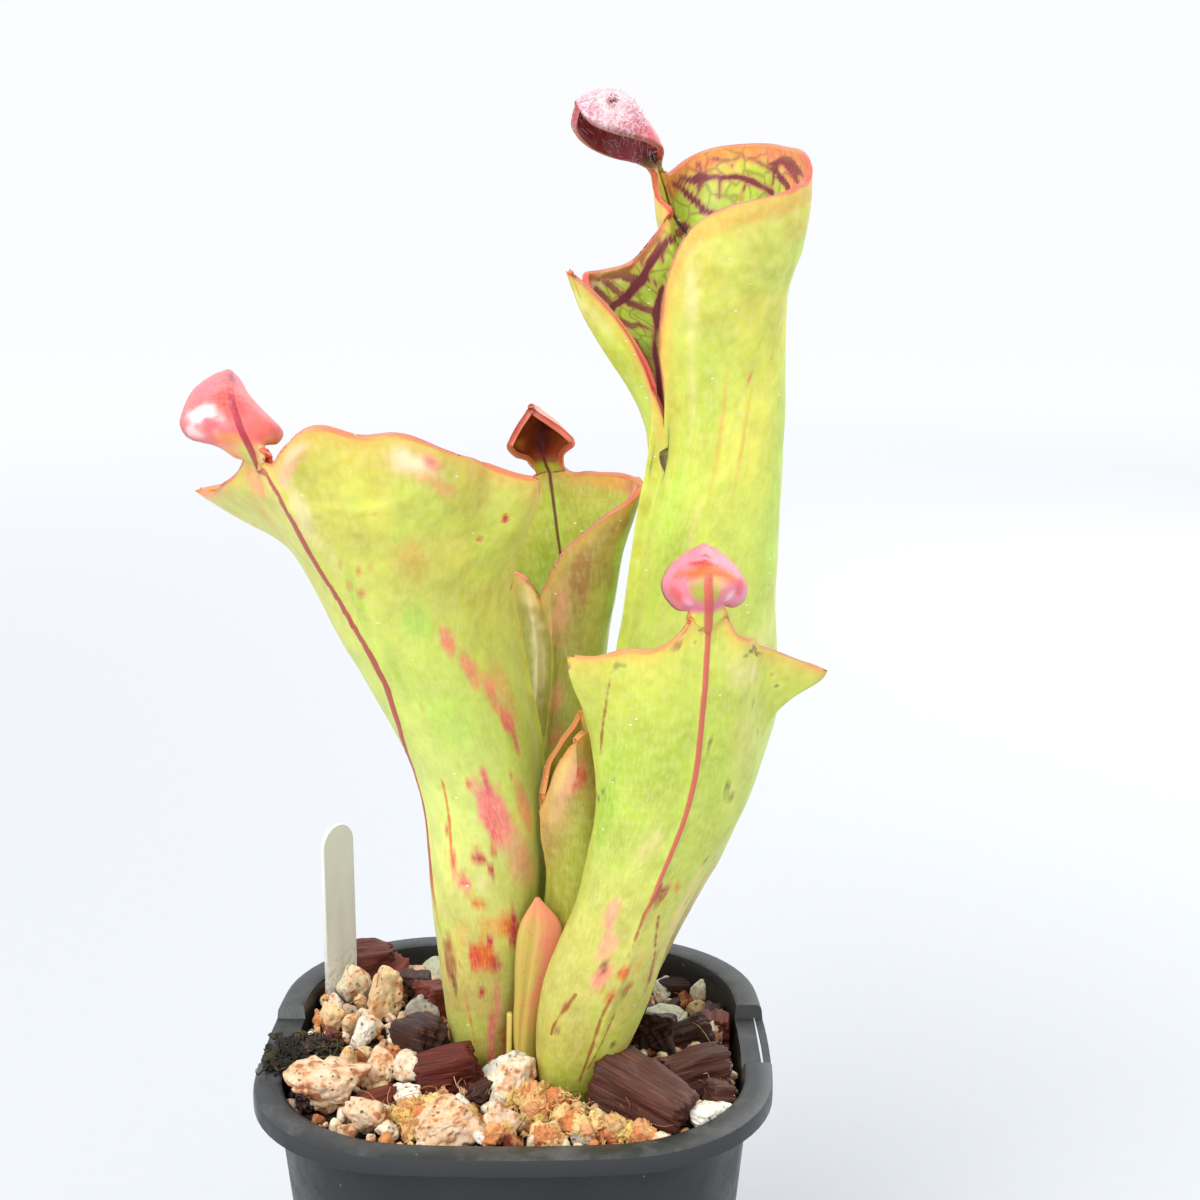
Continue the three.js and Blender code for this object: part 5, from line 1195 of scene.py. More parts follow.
def pot_look():
    look = Look("pot_skin", IOR=1.47, Specular_IOR_Level=0.45)
    grain, dust, smear = look.noise(2600, 3, 0.6), look.noise(150, 5, 0.65), look.noise(28, 3, 0.6)
    # The top 5.5 mm, rim and flange, lighter than the wall below: painted light on the rim and painted shade
    # on the wall under it.
    height = look.node("ShaderNodeSeparateXYZ", 2, {0: look.place})
    top = look.span(height, 0.0795, 0.0850)
    look.shade = look.mix(top, tone(28, 29, 31), tone(46, 48, 51))
    facing = look.node("ShaderNodeNewGeometry", "Normal")
    # Faces inside the pot painted near black: painted shade inside the pot.
    look.cover(look.times(look.value("inner"), 0.85), (14, 14, 15))
    upward = look.node("ShaderNodeSeparateXYZ", 2, {0: facing})
    dusty = look.times(look.span(upward, 0.3, 0.95), look.span(dust, 0.40, 0.72))
    look.cover(look.times(dusty, 0.4), (124, 124, 124))
    look.cover(look.span(smear, 0.4, 0.75, 0, 0.2), (64, 66, 70))
    speck = look.cells(420, feature="F1")
    speck = look.times(look.span(speck, 0.05, 0.10, 1, 0), look.span(look.noise(75, 2), 0.56, 0.62))
    look.cover(look.times(speck, 0.8), (150, 122, 92))
    normal = look.bump(grain, 0.00008, 0.7)
    roughness = look.span(dust, 0.3, 0.7, 0.28, 0.5)
    return look.finish(Normal=normal, Roughness=roughness)


def label_look():
    look = Look("label_skin", IOR=1.47)
    worn, smear = look.noise(900, 4, 0.6), look.noise(60, 4, 0.6, look.stretched(1, 1, 0.3))
    height = look.node("ShaderNodeSeparateXYZ", 2, {0: look.place})
    look.shade = look.mix(look.span(smear, 0.4, 0.7), tone(232, 232, 228), tone(214, 213, 207))
    soiled = look.times(look.span(height, 0.081, 0.094, 1, 0), look.span(worn, 0.42, 0.62))
    look.cover(look.times(soiled, 0.7), (150, 122, 92))
    speck = look.span(look.cells(330, feature="F1"), 0.03, 0.07, 1, 0)
    look.cover(look.times(speck, 0.4), (160, 140, 116))
    return look.finish(Normal=look.bump(worn, 0.00004, 0.6),
                       Roughness=look.span(worn, 0.3, 0.7, 0.38, 0.55))


def tissue_look(name, stops, blot, speckles=0.5):
    """Young leaf and bract: colours up the piece, with blotches and fine lines."""
    look = Look(name, Roughness=0.45, Subsurface_Weight=0.3, Subsurface_Scale=0.001,
                Subsurface_Radius=(1.0, 0.6, 0.3))
    up, around = look.value("up"), look.value("around")
    wander = look.noise(160, 3)
    if stops:
        look.shade = look.ramp(look.plus(up, look.swing(wander, 0.3)), stops)
    else:
        look.shade = look.colour("tint")
    look.cover(look.span(look.noise(240, 4, 0.6), 0.5, 0.68, 0, 0.35), blot)
    lines = look.noise(1.0, 4, 0.6, look.vector(look.times(around, 40.0), look.times(up, 1.5)))
    look.cover(look.span(lines, 0.5, 0.75, 0, 0.35), (236, 214, 130))
    speck = look.span(look.cells(700, feature="F1"), 0.08, 0.18, speckles, 0)
    look.cover(speck, (150, 70, 40))
    return look.finish(Normal=look.bump(lines, 0.00012, 0.7))


def soil_look(name, dark, pale):
    look = Look(name, Roughness=0.9)
    crumbs, grit = look.cells(520, feature="F1"), look.noise(900, 5, 0.7)
    look.shade = look.mix(look.span(crumbs, 0.1, 0.6), tone(*pale), tone(*dark))
    look.cover(look.span(grit, 0.56, 0.72, 0, 0.7), (150, 96, 58))
    normal = look.bump(look.plus(look.times(crumbs, -1.0), grit), 0.0006, 1.0)
    return look.finish(Normal=normal)


def floor_look():
    """Pale floor that grows as bright as the sky far from the plant."""
    look = Look("floor_skin", Roughness=0.9)
    look.shade = look.mix(look.noise(200, 2), (0.58, 0.60, 0.63), (0.60, 0.62, 0.65))
    away = look.node("ShaderNodeVectorMath", "Value", {0: look.place}, operation="LENGTH")
    far = look.span(away, 0.1, 1.6)
    return look.finish(Emission_Color=look.mix(far, (0.035, 0.035, 0.035), (0.36, 0.35, 0.34)),
                       Emission_Strength=1.0)


# Pot.
def square_loop(half, z, side_steps=9, corner_steps=14):
    """Loop round a square with bowed sides and round corners, as wide as the pot there."""
    corner_radius = POT_CORNER_RADIUS * half / POT_HALF
    side_radius = POT_SIDE_RADIUS * half / POT_HALF
    drop = side_radius - half
    reach = side_radius - corner_radius
    c = (-drop + math.sqrt(2 * reach**2 - drop**2)) / 2
    swing = math.atan2(c, c + drop)
    a = -swing + 2 * swing * np.arange(side_steps) / side_steps
    b = swing + (math.pi / 2 - 2 * swing) * np.arange(corner_steps) / corner_steps
    x = np.concatenate([side_radius * np.cos(a) - drop, c + corner_radius * np.cos(b)])
    y = np.concatenate([side_radius * np.sin(a), c + corner_radius * np.sin(b)])
    points = []
    for quarter in range(4):
        turn = quarter * math.pi / 2
        points.append(np.stack([x * math.cos(turn) - y * math.sin(turn),
                                x * math.sin(turn) + y * math.cos(turn),
                                np.full(len(x), float(z))], -1))
    return np.concatenate(points)


def loft(loops):
    """Vertices and faces through loops with equal counts, its ends closed by fans."""
    loops = [np.asarray(loop, float) for loop in loops]
    n = len(loops[0])
    vertices = np.concatenate(loops + [loops[0].mean(0)[None], loops[-1].mean(0)[None]])
    faces = grid_faces(len(loops), n, closed=True)
    low, high, top = len(vertices) - 2, len(vertices) - 1, (len(loops) - 1) * n
    for j in range(n):
        k = (j + 1) % n
        faces.append((low, k, j))
        faces.append((high, top + j, top + k))
    return vertices, faces


def cavity_half(z):
    """Half the width of the pot's cavity at height z."""
    share = (z - POT_FLOOR) / (POT_HEIGHT - POT_FLOOR)
    return POT_FOOT_HALF - POT_WALL + share * (POT_WALL_TOP_HALF - POT_FOOT_HALF)


def settle(made):
    """Applies a piece's modifiers to its mesh."""
    graph = bpy.context.evaluated_depsgraph_get()
    mesh = bpy.data.meshes.new_from_object(made.evaluated_get(graph))
    made.modifiers.clear()
    made.data = mesh


def cutter(vertices, faces):
    """A plain solid for a boolean."""
    mesh = bpy.data.meshes.new("cutter")
    mesh.from_pydata((np.asarray(vertices) * MM).tolist(), [], faces)
    made = bpy.data.objects.new("cutter", mesh)
    bpy.context.scene.collection.objects.link(made)
    return made


def pot_sills():
    """Sills along the notches: a slit is left open on the right only."""
    under = POT_HEIGHT - FLANGE_THICKNESS
    start, skirt = POT_WALL_TOP_HALF - 0.3, POT_HALF - SKIRT_THICKNESS
    length = NOTCH_HALF_LENGTH + 2.5
    for way, reach in ((1, skirt - NOTCH_SLIT), (-1, skirt + 0.4)):
        ring = [(start, -length), (reach, -length), (reach, length), (start, length)]
        yield cutter(*loft([[(x * way, y * way, z) for x, y in ring] for z in (under - 1.9, under + 0.1)]))


def pot_cuts():
    """Notches in the flange and drain holes in the floor."""
    outline = [(-NOTCH_HALF_LENGTH - 2, 0.5), (-NOTCH_HALF_LENGTH, -NOTCH_DEPTH),
               (NOTCH_HALF_LENGTH, -NOTCH_DEPTH), (NOTCH_HALF_LENGTH + 2, 0.5)]
    for way in (1, -1):
        loops = []
        for x in (POT_HALF - FLANGE_WIDTH - 1.5, POT_HALF + 1.5):
            loops.append([(x * way, y * way, POT_HEIGHT + z) for y, z in outline])
        yield cutter(*loft(loops))
    a = np.linspace(0, 2 * np.pi, 32, endpoint=False)
    for turn in range(4):
        c, s = math.cos(turn * math.pi / 2), math.sin(turn * math.pi / 2)
        for x, y in ((DRAIN_CORNER, DRAIN_CORNER), (DRAIN_SIDE, 0)):
            middle = np.array([x * c - y * s, x * s + y * c, 0])
            ring = middle + DRAIN_RADIUS * np.stack([np.cos(a), np.sin(a), 0 * a], -1)
            yield cutter(*loft([ring - (0, 0, 2), ring + (0, 0, 4.5)]))


def make_pot(material):
    under = POT_HEIGHT - FLANGE_THICKNESS
    skirt_foot = POT_HEIGHT - SKIRT_HEIGHT
    flange_inner = POT_HALF - FLANGE_WIDTH
    skirt_inner = POT_HALF - SKIRT_THICKNESS
    profile = [(POT_FOOT_HALF - 1, 0), (POT_FOOT_HALF - 0.3, 0.3), (POT_FOOT_HALF, 1),
               (POT_WALL_TOP_HALF - 0.1, skirt_foot), (POT_WALL_TOP_HALF, under - 0.3),
               (POT_WALL_TOP_HALF + 0.3, under), (skirt_inner - 0.2, under), (skirt_inner, under - 0.2),
               (skirt_inner, skirt_foot + 0.2), (skirt_inner + 0.2, skirt_foot), (POT_HALF - 0.2, skirt_foot),
               (POT_HALF, skirt_foot + 0.2), (POT_HALF, POT_HEIGHT - 0.8), (POT_HALF - 0.2, POT_HEIGHT - 0.3),
               (POT_HALF - 0.8, POT_HEIGHT), (flange_inner + 0.7, POT_HEIGHT),
               (flange_inner + 0.2, POT_HEIGHT - 0.2), (flange_inner, POT_HEIGHT - 0.7),
               (cavity_half(under), under - 1), (cavity_half(POT_FLOOR + 1), POT_FLOOR + 1),
               (cavity_half(POT_FLOOR) - 1, POT_FLOOR)]
    build = Build()
    build.add(*loft([square_loop(half, z) for half, z in profile]))
    pot = build.make("pot_shell", material, replaced=("pot",), slot="pot_plastic")
    tools = [(sill, "UNION") for sill in pot_sills()] + [(cut, "DIFFERENCE") for cut in pot_cuts()]
    for tool, operation in tools:
        modifier = pot.modifiers.new(operation, "BOOLEAN")
        modifier.object = tool
        modifier.operation = operation
        modifier.solver = "EXACT"
    settle(pot)
    for tool, _ in tools:
        bpy.data.objects.remove(tool)
    pot.data.set_sharp_from_angle(angle=math.radians(38))
    # Which faces look towards the middle of the pot: pot_skin paints them near black, as painted shade inside
    # the pot.
    limit = -0.2 * POT_HALF * MM
    inward = [face.normal.xy.dot(face.center.xy) < limit for face in pot.data.polygons]
    inner = pot.data.attributes.new("inner", "FLOAT", "FACE")
    inner.data.foreach_set("value", np.array(inward, np.float32))
    return pot


# Substrate.
# What each piece of the mix stands for.
MIX = {"replaced": ("soil",), "slot": "potting_mix"}
# Grains: how many places are tried, how many grains are kept, and how many of them may be large.
GRIT_TRIES, GRIT_COUNT, LARGE_GRAINS = 7000, 620, 300
# The cavity's corner at the level of the mix: its middle from the axis, and its radius.
MIX_CORNER, MIX_CORNER_RADIUS = 17.0, 22.5
# Leaf bases at soil level: centre and radius.
STEMS = [(-5.9, -2.4, 7.2), (17.4, 6.6, 7.4), (3.1, 12.7, 5.8), (9.8, -15.3, 6.4), (6.8, -2.7, 4.2),
         (2.4, -10.2, 2.4)]
TINTS = {"white": (250, 246, 236), "cream": (246, 232, 206), "tan": (236, 204, 158), "rust": (238, 212, 180),
         "grey": (190, 184, 172), "pink": (232, 182, 160), "green": (206, 206, 184), "orange": (226, 150, 92)}
# How far rust has spread, about -1 to 1.
RUST = {"rust": 0.55, "orange": 0.8, "tan": 0.3, "cream": 0.1}
# Pumice in sight: kind, x, y, width and height.
STONES = [
    ("cream", -32.5, 20.3, 6.3, 7.4), ("tan", -25.5, 14.6, 8, 8), ("tan", -33.7, 7.2, 4.6, 5.3),
    ("white", -27.8, 0, 5.9, 4.2), ("tan", -29.8, 4.8, 3.5, 3.2), ("grey", -18.4, 8.3, 5.7, 5.4),
    ("white", -21.1, -0.8, 2.8, 2.8), ("pink", -23, 36.2, 5.5, 3.1), ("green", -17.5, 36.5, 4.7, 4.7),
    ("tan", -29.5, -11.4, 4.7, 4.1), ("rust", -23.6, -12.9, 7.4, 5.7), ("cream", -18.7, -14.3, 5.4, 4.7),
    ("orange", -21.2, -6.2, 6.9, 3.4), ("rust", -31.2, -21.4, 12, 7.2), ("white", -17.4, -21.4, 7.2, 2.6),
    ("rust", -23, -30.2, 7.7, 5.1), ("rust", -10.5, -33.4, 10.4, 5.7), ("cream", -0.7, -33.2, 5.1, 5.7),
    ("white", -1.1, -14.0, 7.4, 5.1), ("cream", 0.3, -18.6, 8.6, 6.6), ("cream", -2.2, -22.8, 3.9, 3.9),
    ("white", 32.0, -29.0, 7.7, 3.5), ("cream", 27.6, -22.8, 4.6, 3.9), ("white", 35.2, 29.0, 4.5, 6.8),
    ("white", 27.1, 32.0, 4.6, 3.8), ("green", 27.9, 13.7, 9.5, 3.6), ("white", 33.8, -4.6, 6.2, 2.1),
    ("cream", 35.8, 8.8, 4.3, 4.3), ("tan", 33.5, 24.4, 3.7, 3), ("white", -9.1, -26.9, 4.5, 3.2),
    ("cream", -19.9, -34.0, 3.8, 2.5), ("tan", 7.4, -35.8, 2.5, 1.6), ("white", -3.8, -35.6, 3.1, 1.6),
]
# Husk chips in sight: shade, x, y, length, height and turn about Z.
HUSKS = [
    ("cube", -30.6, 31.5, 9.8, 9.4, 10), ("red", -25.3, 31.6, 6.9, 5.3, 60),
    ("dark", -20.4, 22.8, 4.5, 6.7, 80), ("red", -16.3, 13.3, 5.8, 7.2, 40),
    ("dark", -16.6, -5.6, 8.4, 8.8, -50), ("gloss", -11.8, -15.6, 9.6, 7.0, 5),
    ("dark", -35.4, -5.9, 7.2, 4.1, 80), ("red", -33.4, -14.8, 4.7, 3.3, 20),
    ("dark", -36, -16.4, 4, 4.4, 60), ("dark", -34.8, -21.9, 4.6, 3.9, 110),
    ("fibre", 22.4, -25.4, 16.4, 8.6, -38), ("fibre", 31.0, -15.9, 11.0, 7.0, 24),
    ("dark", 30.5, 6.1, 9.2, 5.7, 12), ("dark", 25.4, 4.2, 8.0, 7.5, 70), ("dark", 30.3, 32.4, 6.9, 4.6, 0),
    ("dark", 28.2, 23, 5.2, 3, 50), ("red", 36.0, 10.9, 4.3, 6.4, 85), ("fibre", 35.0, -22.6, 3.9, 3.9, 30),
    ("dark", 18.9, -11.4, 5.4, 4.8, -30), ("red", -22.4, -23.3, 5.2, 3.3, 15),
    ("dark", -5.2, -21.3, 3.9, 3.9, 40), ("red", -33.2, -1.3, 2.8, 3.5, 0), ("dark", 36, 18, 6.5, 4.4, 80),
    ("dark", 22, 18.5, 6.5, 4, 30), ("red", 12, 26, 6.0, 4, 10), ("dark", -8, 24, 7.0, 4, -20),
    ("dark", -12, 31, 6.5, 4.4, 30),
]
HUSK_TINTS = {"cube": (96, 36, 22), "red": (116, 42, 24), "dark": (58, 30, 24), "gloss": (104, 28, 14),
              "fibre": (84, 42, 30)}
MOSS_TINTS = [(244, 196, 132), (246, 216, 150), (232, 168, 116), (238, 206, 120), (222, 140, 84),
              (226, 196, 130)]
DEBRIS_TINTS = [(30, 24, 20), (44, 34, 24), (58, 52, 30), (24, 20, 20), (80, 70, 38)]
THREAD_TINTS = [(168, 92, 50), (196, 128, 74), (120, 60, 36), (226, 196, 150)]
# Tufts of dry moss: x, y, width and height.
TUFTS = [(3.1, -24.2, 7.2, 5.2), (8.4, -26.9, 9.1, 5.4), (12.9, -32.8, 7.6, 4.6), (17.4, -34, 6.3, 3.2),
         (21.1, -35, 5, 2.5), (-1.5, -35, 5, 3.1), (-13, -26.9, 7.8, 3.9), (-17.4, -28.2, 5.8, 3.2),
         (6, -35, 5.7, 3.1), (-6.9, -30.9, 3.8, 3.2), (-15.6, -33.2, 3.8, 2.5), (4, -28, 5, 3)]
# Loose husk fibres: x, y, reach and count.
THREAD_PLACES = [(22, -25, 8, 60), (31, -16, 6, 40), (8, -28, 14, 60), (-14, -22, 16, 60), (-28, 12, 12, 30),
                 (30, 12, 10, 40), (0, 25, 22, 40), (-30, -10, 8, 20)]


def soil_level(x, y):
    return SOIL_FRONT_Z + (SOIL_REAR_Z - SOIL_FRONT_Z) * smooth((x + 2 * y + 10) / 90)


def bed_level(x, y):
    """Height of the fine bed, a little under the tops of the loose pieces."""
    place = np.stack([x, y, 0 * x], -1)
    return soil_level(x, y) - 1.6 + 0.9 * noise(place, 6.0, 21) + 0.4 * noise(place, 2.2, 22)


def clear_of_stems(x, y, radius):
    return all(math.hypot(x - cx, y - cy) > r + radius for cx, cy, r in STEMS)


def make_bed(material):
    bottom = POT_FLOOR + 0.3
    loops = []
    for z, gap in ((bottom, 1.3), (bottom + 1, 0.3), (60, 0.3)):
        loops.append(square_loop(cavity_half(z) - gap, z))
    rim = square_loop(cavity_half(SOIL_REAR_Z) - 0.3, 0)
    for ring in np.linspace(1, 0.02, 60):
        loop = rim * ring
        loop[:, 2] = bed_level(loop[:, 0], loop[:, 1]) - 1.2 * ring**8
        loops.append(loop)
    build = Build()
    build.add(*loft(loops))
    return build.make("mix_bed", material, **MIX)


def ball(levels, kept={}):
    """Unit sphere of triangles."""
    if levels not in kept:
        ready = bmesh.new()
        bmesh.ops.create_icosphere(ready, subdivisions=levels, radius=1)
        kept[levels] = (np.array([v.co[:] for v in ready.verts]),
                        [tuple(v.index for v in f.verts) for f in ready.faces])
        ready.free()
    return kept[levels]


def turned(points, rng, tilt=1.0):
    """Points turned at random about Z, and by up to tilt radians about X and Y."""
    a, b, c = rng.uniform(0, 2 * math.pi), rng.uniform(-tilt, tilt), rng.uniform(-tilt, tilt)
    about_z = np.array([[math.cos(a), -math.sin(a), 0], [math.sin(a), math.cos(a), 0], [0, 0, 1]])
    about_x = np.array([[1, 0, 0], [0, math.cos(b), -math.sin(b)], [0, math.sin(b), math.cos(b)]])
    about_y = np.array([[math.cos(c), 0, math.sin(c)], [0, 1, 0], [-math.sin(c), 0, math.cos(c)]])
    return points @ (about_z @ about_x @ about_y).T


def grain_of_pumice(rng, size, levels):
    """A worn angular lump: a rounded polyhedron with bumps and pits."""
    directions, faces = ball(levels)
    sides = unit(rng.normal(size=(10, 3)))
    reach = rng.uniform(0.62, 1.05, 10)
    facing = np.maximum(directions @ sides.T, 0.0) / reach
    r = np.minimum((facing**14).sum(1) ** (-1 / 14), 1.35)
    shift = rng.uniform(-50, 50, 3)
    r = r * (1 + 0.11 * noise(directions + shift, 0.7, 1) + 0.07 * noise(directions + shift, 0.28, 2))
    if levels > 2:
        pits = np.clip(noise(directions + shift, 0.2, 3) - 0.2, 0, 1)
        r = r * (1 - 0.3 * pits)
    return directions * r[:, None] * np.asarray(size) / 2, faces


def varied(rng, colour, by=0.1):
    """An sRGB colour, made a little lighter or darker and warmer or cooler, as a linear one."""
    scale = 1 + rng.uniform(-by, by)
    return [min(c * scale * (1 + rng.uniform(-by, by) * 0.35), 1.0) for c in tone(*colour)]


def picked(rng, tints, by):
    return varied(rng, tints[rng.integers(len(tints))], by)


def make_pumice(material):
    """The larger stones in sight, each in its place."""
    rng = np.random.default_rng(5)
    build = Build()
    for kind, x, y, width, height in STONES:
        levels = 5 if width > 7 else 4
        size = (width * 1.05, width * rng.uniform(0.75, 0.95), height * 1.15)
        points, faces = grain_of_pumice(rng, size, levels)
        points = turned(points, rng, 0.35)
        points = points + (x, y, float(soil_level(x, y)) + 0.32 * height)
        build.add(points, faces, tint=varied(rng, TINTS[kind], 0.06), rusty=RUST.get(kind, -0.4))
    return build.make("pumice", material, **MIX)


def make_grit(material):
    """Small grains that fill the places between the larger ones."""
    rng = np.random.default_rng(17)
    taken = [(x, y, width * 0.42) for _, x, y, width, _ in STONES]
    taken += [(x, y, length * 0.3) for _, x, y, length, _, _ in HUSKS]
    limit = cavity_half(SOIL_REAR_Z) - 0.5
    build = Build()
    kinds = ("white", "cream", "cream", "tan", "tan", "rust", "grey", "orange")
    stone_tints = [TINTS[kind] for kind in kinds]
    placed = 0
    for _ in range(GRIT_TRIES):
        x, y = rng.uniform(-38.5, 38.5, 2)
        r = rng.uniform(0.7, 2.1) if placed < LARGE_GRAINS else rng.uniform(0.5, 1.2)
        past_x, past_y = abs(x) - MIX_CORNER, abs(y) - MIX_CORNER
        outside = max(abs(x), abs(y)) + r > limit
        rounded_off = min(past_x, past_y) > 0 and math.hypot(past_x, past_y) + r > MIX_CORNER_RADIUS
        if outside or rounded_off or not clear_of_stems(x, y, r * 0.6):
            continue
        if any(math.hypot(x - a, y - b) < c + r * 0.72 for a, b, c in taken):
            continue
        taken.append((x, y, r))
        dark = rng.uniform() < 0.3
        if dark:
            colour = varied(rng, HUSK_TINTS["dark" if rng.uniform() < 0.6 else "red"], 0.2)
        else:
            colour = picked(rng, stone_tints, 0.1)
        size = 2 * r * rng.uniform(0.75, 1.1, 3)
        points, faces = grain_of_pumice(rng, size, 3 if r > 1.4 else 2)
        points = turned(points, rng, 1.0) + (x, y, float(soil_level(x, y)) - 0.9 + 0.5 * r)
        build.add(points, faces, tint=colour, rusty=rng.uniform(0, 1))
        placed += 1
        if placed > GRIT_COUNT:
            break
    return build.make("grit", material, **MIX)


def block(cuts, kept={}):
    """Cube from -1 to 1 with each side cut into squares."""
    if cuts not in kept:
        ready = bmesh.new()
        bmesh.ops.create_cube(ready, size=2)
        bmesh.ops.subdivide_edges(ready, edges=ready.edges[:], cuts=cuts, use_grid_fill=True)
        kept[cuts] = (np.array([v.co[:] for v in ready.verts]),
                      [tuple(v.index for v in f.verts) for f in ready.faces])
        ready.free()
    return kept[cuts]


def make_husks(material):
    """Chips of coconut husk: worn blocks with ragged ends and strands along them."""
    rng = np.random.default_rng(8)
    build = Build()
    for kind, x, y, length, height, turn in HUSKS:
        points, faces = block(26 if length > 9 else 15)
        power = 18.0 if kind != "dark" else 9.0
        points = points / (np.abs(points) ** power).sum(1)[:, None] ** (1 / power)
        half = np.array([length / 2, max(length * 0.27, height * 0.42) if kind != "cube" else length * 0.4,
                         height * 0.52])
        shift = rng.uniform(-90, 90, 3)
        local = points * half
        taper = 1 - 0.25 * rng.uniform(0.2, 1) * points[:, 0]
        local[:, 1] *= taper
        local[:, 2] *= 1 - 0.18 * rng.uniform(-1, 1) * points[:, 0]
        lumps = np.stack([noise(local + shift + k * 31, 4.5, 4 + k) for k in range(3)], -1)
        local = local + 0.55 * lumps * min(1, length / 8)
        strands = noise((local + shift) * (0.12, 1, 1), 0.55, 9)
        coarse = noise((local + shift) * (0.08, 1, 1), 1.3, 10)
        across = local * (0, 1, 1)
        local = local + unit(across) * (0.24 * strands + 0.4 * coarse)[:, None]
        ragged = noise((local + shift) * (0, 1, 1), 0.6, 12)
        local[:, 0] += 0.9 * ragged * np.abs(points[:, 0]) ** 6 * np.sign(points[:, 0])
        a = math.radians(turn)
        b = rng.uniform(-0.3, 0.3)
        c, s = math.cos(a), math.sin(a)
        tilted = local @ np.array([[math.cos(b), 0, math.sin(b)], [0, 1, 0],
                                   [-math.sin(b), 0, math.cos(b)]]).T
        world = tilted @ np.array([[c, -s, 0], [s, c, 0], [0, 0, 1]]).T
        world = world + (x, y, float(soil_level(x, y)) + 0.26 * height)
        build.add(world, faces, tint=varied(rng, HUSK_TINTS[kind], 0.12), along=local[:, 0],
                  over=local[:, 1] + 1.7 * local[:, 2] + 13 * rng.uniform())
    return build.make("husk_chips", material, **MIX)


def thread(rng, start, heading, length, curl, droop=0.0, steps=9):
    """Points along a thread that wanders as it goes."""
    points = [np.array(start, float)]
    heading = unit(np.array(heading, float))
    turn = rng.normal(size=3)
    for _ in range(steps):
        turn = turn * 0.75 + rng.normal(size=3) * 0.6
        heading = unit(heading + np.cross(heading, turn) * curl - np.array([0, 0, droop]))
        points.append(points[-1] + heading * length / steps)
    return np.array(points)


def sponge(rng, size, levels=4):
    """A soft lump with deep folds."""
    directions, faces = ball(levels)
    shift = rng.uniform(-50, 50, 3)
    folds = noise(directions + shift, 0.45, 1) + 0.7 * noise(directions + shift, 0.2, 2)
    small = noise(directions + shift, 0.09, 3)
    return directions * (1 + 0.26 * folds + 0.12 * small)[:, None] * np.asarray(size) / 2, faces


def make_moss(material):
    """Tufts of dry moss: soft lumps with loose threads between them."""
    rng = np.random.default_rng(23)
    build = Build()
    for x, y, width, height in TUFTS:
        level = float(soil_level(x, y)) - 0.8
        for _ in range(int(2.2 * width)):
            a, r = rng.uniform(0, 2 * np.pi), math.sqrt(rng.uniform()) * width * 0.42
            high = height * (1 - (r / width * 1.7) ** 2) * rng.uniform(0.45, 0.95)
            size = rng.uniform(1.5, 3.6) * rng.uniform(0.75, 1.2, 3)
            points, faces = sponge(rng, size, 4 if size.max() > 2.8 else 3)
            points = turned(points, rng, 0.8) + (x + r * math.cos(a), y + 0.8 * r * math.sin(a),
                                                 level + max(high, 0.4))
            build.add(points, faces, tint=picked(rng, MOSS_TINTS, 0.1), rusty=rng.uniform(-0.6, 0.9))
        for _ in range(int(5 * width)):
            a, r = rng.uniform(0, 2 * np.pi), math.sqrt(rng.uniform()) * width / 2
            high = height * (1 - (r / width * 1.6) ** 2) * rng.uniform(0.5, 1.0)
            start = (x + r * math.cos(a), y + 0.8 * r * math.sin(a), level + max(high, 0.1))
            path = thread(rng, start, (math.cos(a), math.sin(a), rng.uniform(-0.4, 0.8)),
                          rng.uniform(1.2, 3.6), 0.7, 0.12, 5)
            points, faces = tube(path, np.linspace(rng.uniform(0.12, 0.3), 0.06, len(path)), 4)
            build.add(points, faces, tint=picked(rng, MOSS_TINTS, 0.15), rusty=rng.uniform(-0.4, 1))
    return build.make("dry_moss", material, **MIX)


def make_debris(material):
    """Dark, half-rotten moss and bark that lies over the flange at the left."""
    rng = np.random.default_rng(47)
    build = Build()
    for _ in range(90):
        x, y = rng.uniform(-43.2, -31.5), rng.uniform(-17, -3)
        on_flange = x < -38.5
        level = POT_HEIGHT + 0.3 if on_flange else float(soil_level(x, y)) + 0.8
        points, faces = sponge(rng, rng.uniform(0.9, 3.0) * rng.uniform(0.5, 1.3, 3) * (1.0, 1.0, 0.5), 3)
        points = turned(points, rng, 0.5) + (x, y, level + rng.uniform(0, 0.9))
        build.add(points, faces, tint=picked(rng, DEBRIS_TINTS, 0.2), rusty=-1.0)
    for _ in range(150):
        x, y = rng.uniform(-42.5, -31.5), rng.uniform(-17, -3)
        a = rng.uniform(-0.6, 0.6) + (0 if rng.uniform() < 0.5 else np.pi)
        path = thread(rng, (x, y, POT_HEIGHT + rng.uniform(0.3, 1.4)), (math.cos(a), 0.5 * math.sin(a), 0.1),
                      rng.uniform(2, 6), 0.4, 0.04)
        path[:, 0] = np.clip(path[:, 0], -44, -29)
        path[:, 2] = np.maximum(path[:, 2], np.where(path[:, 0] < -38.5, POT_HEIGHT + 0.2, 83.5))
        points, faces = tube(path, np.linspace(0.22, 0.07, len(path)), 4)
        build.add(points, faces, tint=picked(rng, DEBRIS_TINTS, 0.25), rusty=-1.0)
    return build.make("dark_debris", material, **MIX)


